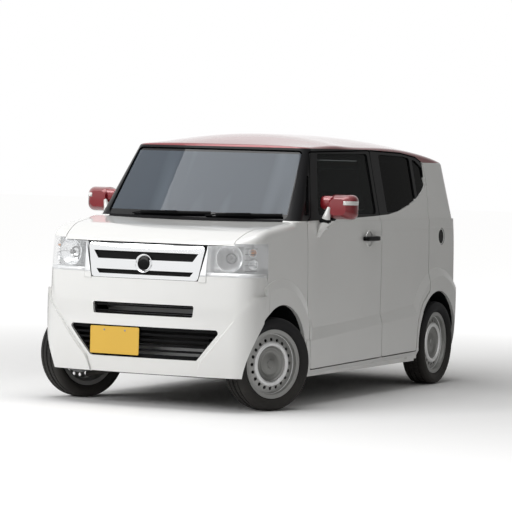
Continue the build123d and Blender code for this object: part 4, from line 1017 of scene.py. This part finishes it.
for row, front, cushion_top, back_top in rows:
    for side, sign in sides:
        x = seat_x * sign
        tag = "%s_%s" % (row, side)
        base_top = cushion_top - 0.10
        base = rounded_block("seat_base_" + tag, (x, front + 0.215, (floor_top + base_top) / 2),
                             (0.40, 0.34, base_top - floor_top), 10.0)
        dress(base, trim_plastic, "shell", "trim_plastic", "seats")
        upholster(pillow("seat_cushion_" + tag, (x, front + 0.235, cushion_top - 0.065),
                         (0.455, 0.465, 0.130), 4.5, -0.05, 3, 96))
        rise = back_top - cushion_top
        upholster(pillow("seat_back_" + tag, (x, front + 0.535, cushion_top + rise / 2 + 0.010),
                         (0.445, 0.100, rise + 0.02), 4.5, -math.atan2(0.15, rise), 0, 96))
        upholster(pillow("headrest_" + tag, (x, front + 0.632, back_top + 0.075),
                         (0.218, 0.075, 0.150), 3.6, -0.10, 0, 64))
        for number in (-1, 1):
            post_x = x + 0.05 * number
            post_line = np.array([
                (post_x, front + 0.592, back_top - 0.06), (post_x, front + 0.612, back_top + 0.02),
                (post_x, front + 0.624, back_top + 0.06)])
            post = carried("headrest_post_%s_%d" % (tag, number + 1), post_line,
                           ring_section(0.005), (1.0, 0.0, 0.0))
            dress(tidy(post), steel, "shell", "chrome")

# %% Cabin mirror
stem = carried("cabin_mirror_stem", smooth_path([
    (-0.04, -0.760, 1.535), (-0.04, -0.735, 1.515), (-0.04, -0.715, 1.490)], 10),
    ring_section(0.007), (1.0, 0.0, 0.0))
dress(tidy(stem), black_plastic, "shell", "black_plastic")
cabin_mirror = rounded_block("cabin_mirror", (-0.04, -0.712, 1.478), (0.240, 0.028, 0.066),
                             5.0, -0.10, 0.10)
dress(cabin_mirror, black_plastic, "shell", "black_plastic")
print("fittings made")

# %% [markdown]
# ## Floor, light and camera
# A pale floor keeps the soft shadow. The background is white only for the rays that look
# at it or reflect it, so the lamps can stay at a level that keeps the paint's colour. One
# wall of the room is dark, so that the side windows and black trim reflect something deep.

# %% Floor
stage_half = 60.0
floor = mesh_piece("floor", [
    [-stage_half, -stage_half, 0.0], [stage_half, -stage_half, 0.0],
    [stage_half, stage_half, 0.0], [-stage_half, stage_half, 0.0]], [[0, 1, 2, 3]])
floor_look = bpy.data.materials.new("pale_floor")
floor_look.use_nodes = True
tree = floor_look.node_tree
for label, value in (("Base Color", (0.93, 0.93, 0.93, 1.0)), ("Roughness", 0.9),
                     ("Specular IOR Level", 0.0), ("Emission Color", (1.0, 1.0, 1.0, 1.0))):
    principled(floor_look).inputs[label].default_value = value
fade_from, fade_rate, full_glow = 1.7, 0.17, 0.78
path = tree.nodes.new("ShaderNodeLightPath")
reach = put(tree, "ShaderNodeVectorMath", operation="LENGTH")
wire(tree, object_axes(tree)[0], reach.inputs[0])
past = maths(tree, "SUBTRACT", reach.outputs["Value"], fade_from)
glow = maths(tree, "MULTIPLY", maths(tree, "MULTIPLY", past, fade_rate, clamp=True), full_glow)
wire(tree, maths(tree, "MULTIPLY", path.outputs["Is Camera Ray"], glow),
     principled(floor_look).inputs["Emission Strength"])
floor.data.materials.append(floor_look)

# %% World
world = bpy.data.worlds.new("soft_room")
bpy.context.scene.world = world
world.use_nodes = True
tree = world.node_tree
tree.nodes.clear()
room_light = put(tree, "ShaderNodeBackground", Color=(1.0, 0.99, 0.97, 1.0), Strength=0.22)
white_back = put(tree, "ShaderNodeBackground", Color=(1.0, 1.0, 1.0, 1.0), Strength=1.0)
mirrored = put(tree, "ShaderNodeBackground", Strength=1.0)
spot = tree.nodes.new("ShaderNodeTexCoord")
towards = put(tree, "ShaderNodeVectorMath", operation="DOT_PRODUCT")
towards.inputs[1].default_value = (0.756, 0.655, 0.0)
wire(tree, spot.outputs["Generated"], towards.inputs[0])
past = maths(tree, "SUBTRACT", towards.outputs["Value"], 0.35)
dark_wall = maths(tree, "MULTIPLY", past, 1.9, clamp=True)
wire(tree, blend_colours(tree, dark_wall, (1.0, 1.0, 1.0), (0.22, 0.22, 0.215)),
     mirrored.inputs["Color"])
path = tree.nodes.new("ShaderNodeLightPath").outputs


def mix_light(chosen, first, second):
    """Mix of two shader sockets by a factor socket."""
    made = tree.nodes.new("ShaderNodeMixShader")
    for socket, source in zip(made.inputs, (chosen, first, second)):
        wire(tree, source, socket)
    return made.outputs[0]


reflected = maths(tree, "MAXIMUM", path["Is Glossy Ray"], path["Is Transmission Ray"])
unseen = mix_light(reflected, room_light.outputs[0], mirrored.outputs[0])
whole = mix_light(path["Is Camera Ray"], unseen, white_back.outputs[0])
wire(tree, whole, tree.nodes.new("ShaderNodeOutputWorld").inputs[0])


# %% Lamps
def area_lamp(name, spot, target, size, power):
    """Soft rectangular lamp aimed at a point."""
    data = bpy.data.lights.new(name, "AREA")
    data.shape = "RECTANGLE"
    data.size, data.size_y = size
    data.energy = power
    lamp = new_object(name, data)
    lamp.location = spot
    lamp.rotation_euler = (Vector(target) - Vector(spot)).to_track_quat("-Z", "Y").to_euler()


area_lamp("key", (-3.5, -8.5, 4.6), (0.0, -1.0, 0.8), (5.0, 4.0), 400.0)
area_lamp("top", (-0.6, -1.6, 6.5), (0.0, -0.2, 0.6), (5.0, 6.0), 260.0)

# %% Camera
eye_turn = math.radians(25.265)
eye_far = 17.994
eye_high = 1.5464
look_turn = eye_turn + math.radians(0.171)
look_down = math.radians(2.152)
roll = math.radians(1.537)
sensor_width = 36.0
focal_pixels, frame_pixels = 2761.9, 512.0
forward = Vector((-math.sin(look_turn) * math.cos(look_down),
                  math.cos(look_turn) * math.cos(look_down), -math.sin(look_down)))
level = Vector((math.cos(look_turn), math.sin(look_turn), 0.0))
upright = level.cross(forward)
right = level * math.cos(roll) + upright * math.sin(roll)
top = -level * math.sin(roll) + upright * math.cos(roll)
camera_data = bpy.data.cameras.new("camera")
camera_data.sensor_width = sensor_width
camera_data.sensor_fit = "HORIZONTAL"
camera_data.lens = focal_pixels / frame_pixels * sensor_width
camera_data.clip_end = 200.0
camera = new_object("camera", camera_data)
camera.matrix_world = Matrix((
    (right.x, top.x, -forward.x, math.sin(eye_turn) * eye_far),
    (right.y, top.y, -forward.y, -math.cos(eye_turn) * eye_far),
    (right.z, top.z, -forward.z, eye_high),
    (0.0, 0.0, 0.0, 1.0)))
bpy.context.scene.camera = camera
bpy.context.scene.view_settings.view_transform = "Standard"
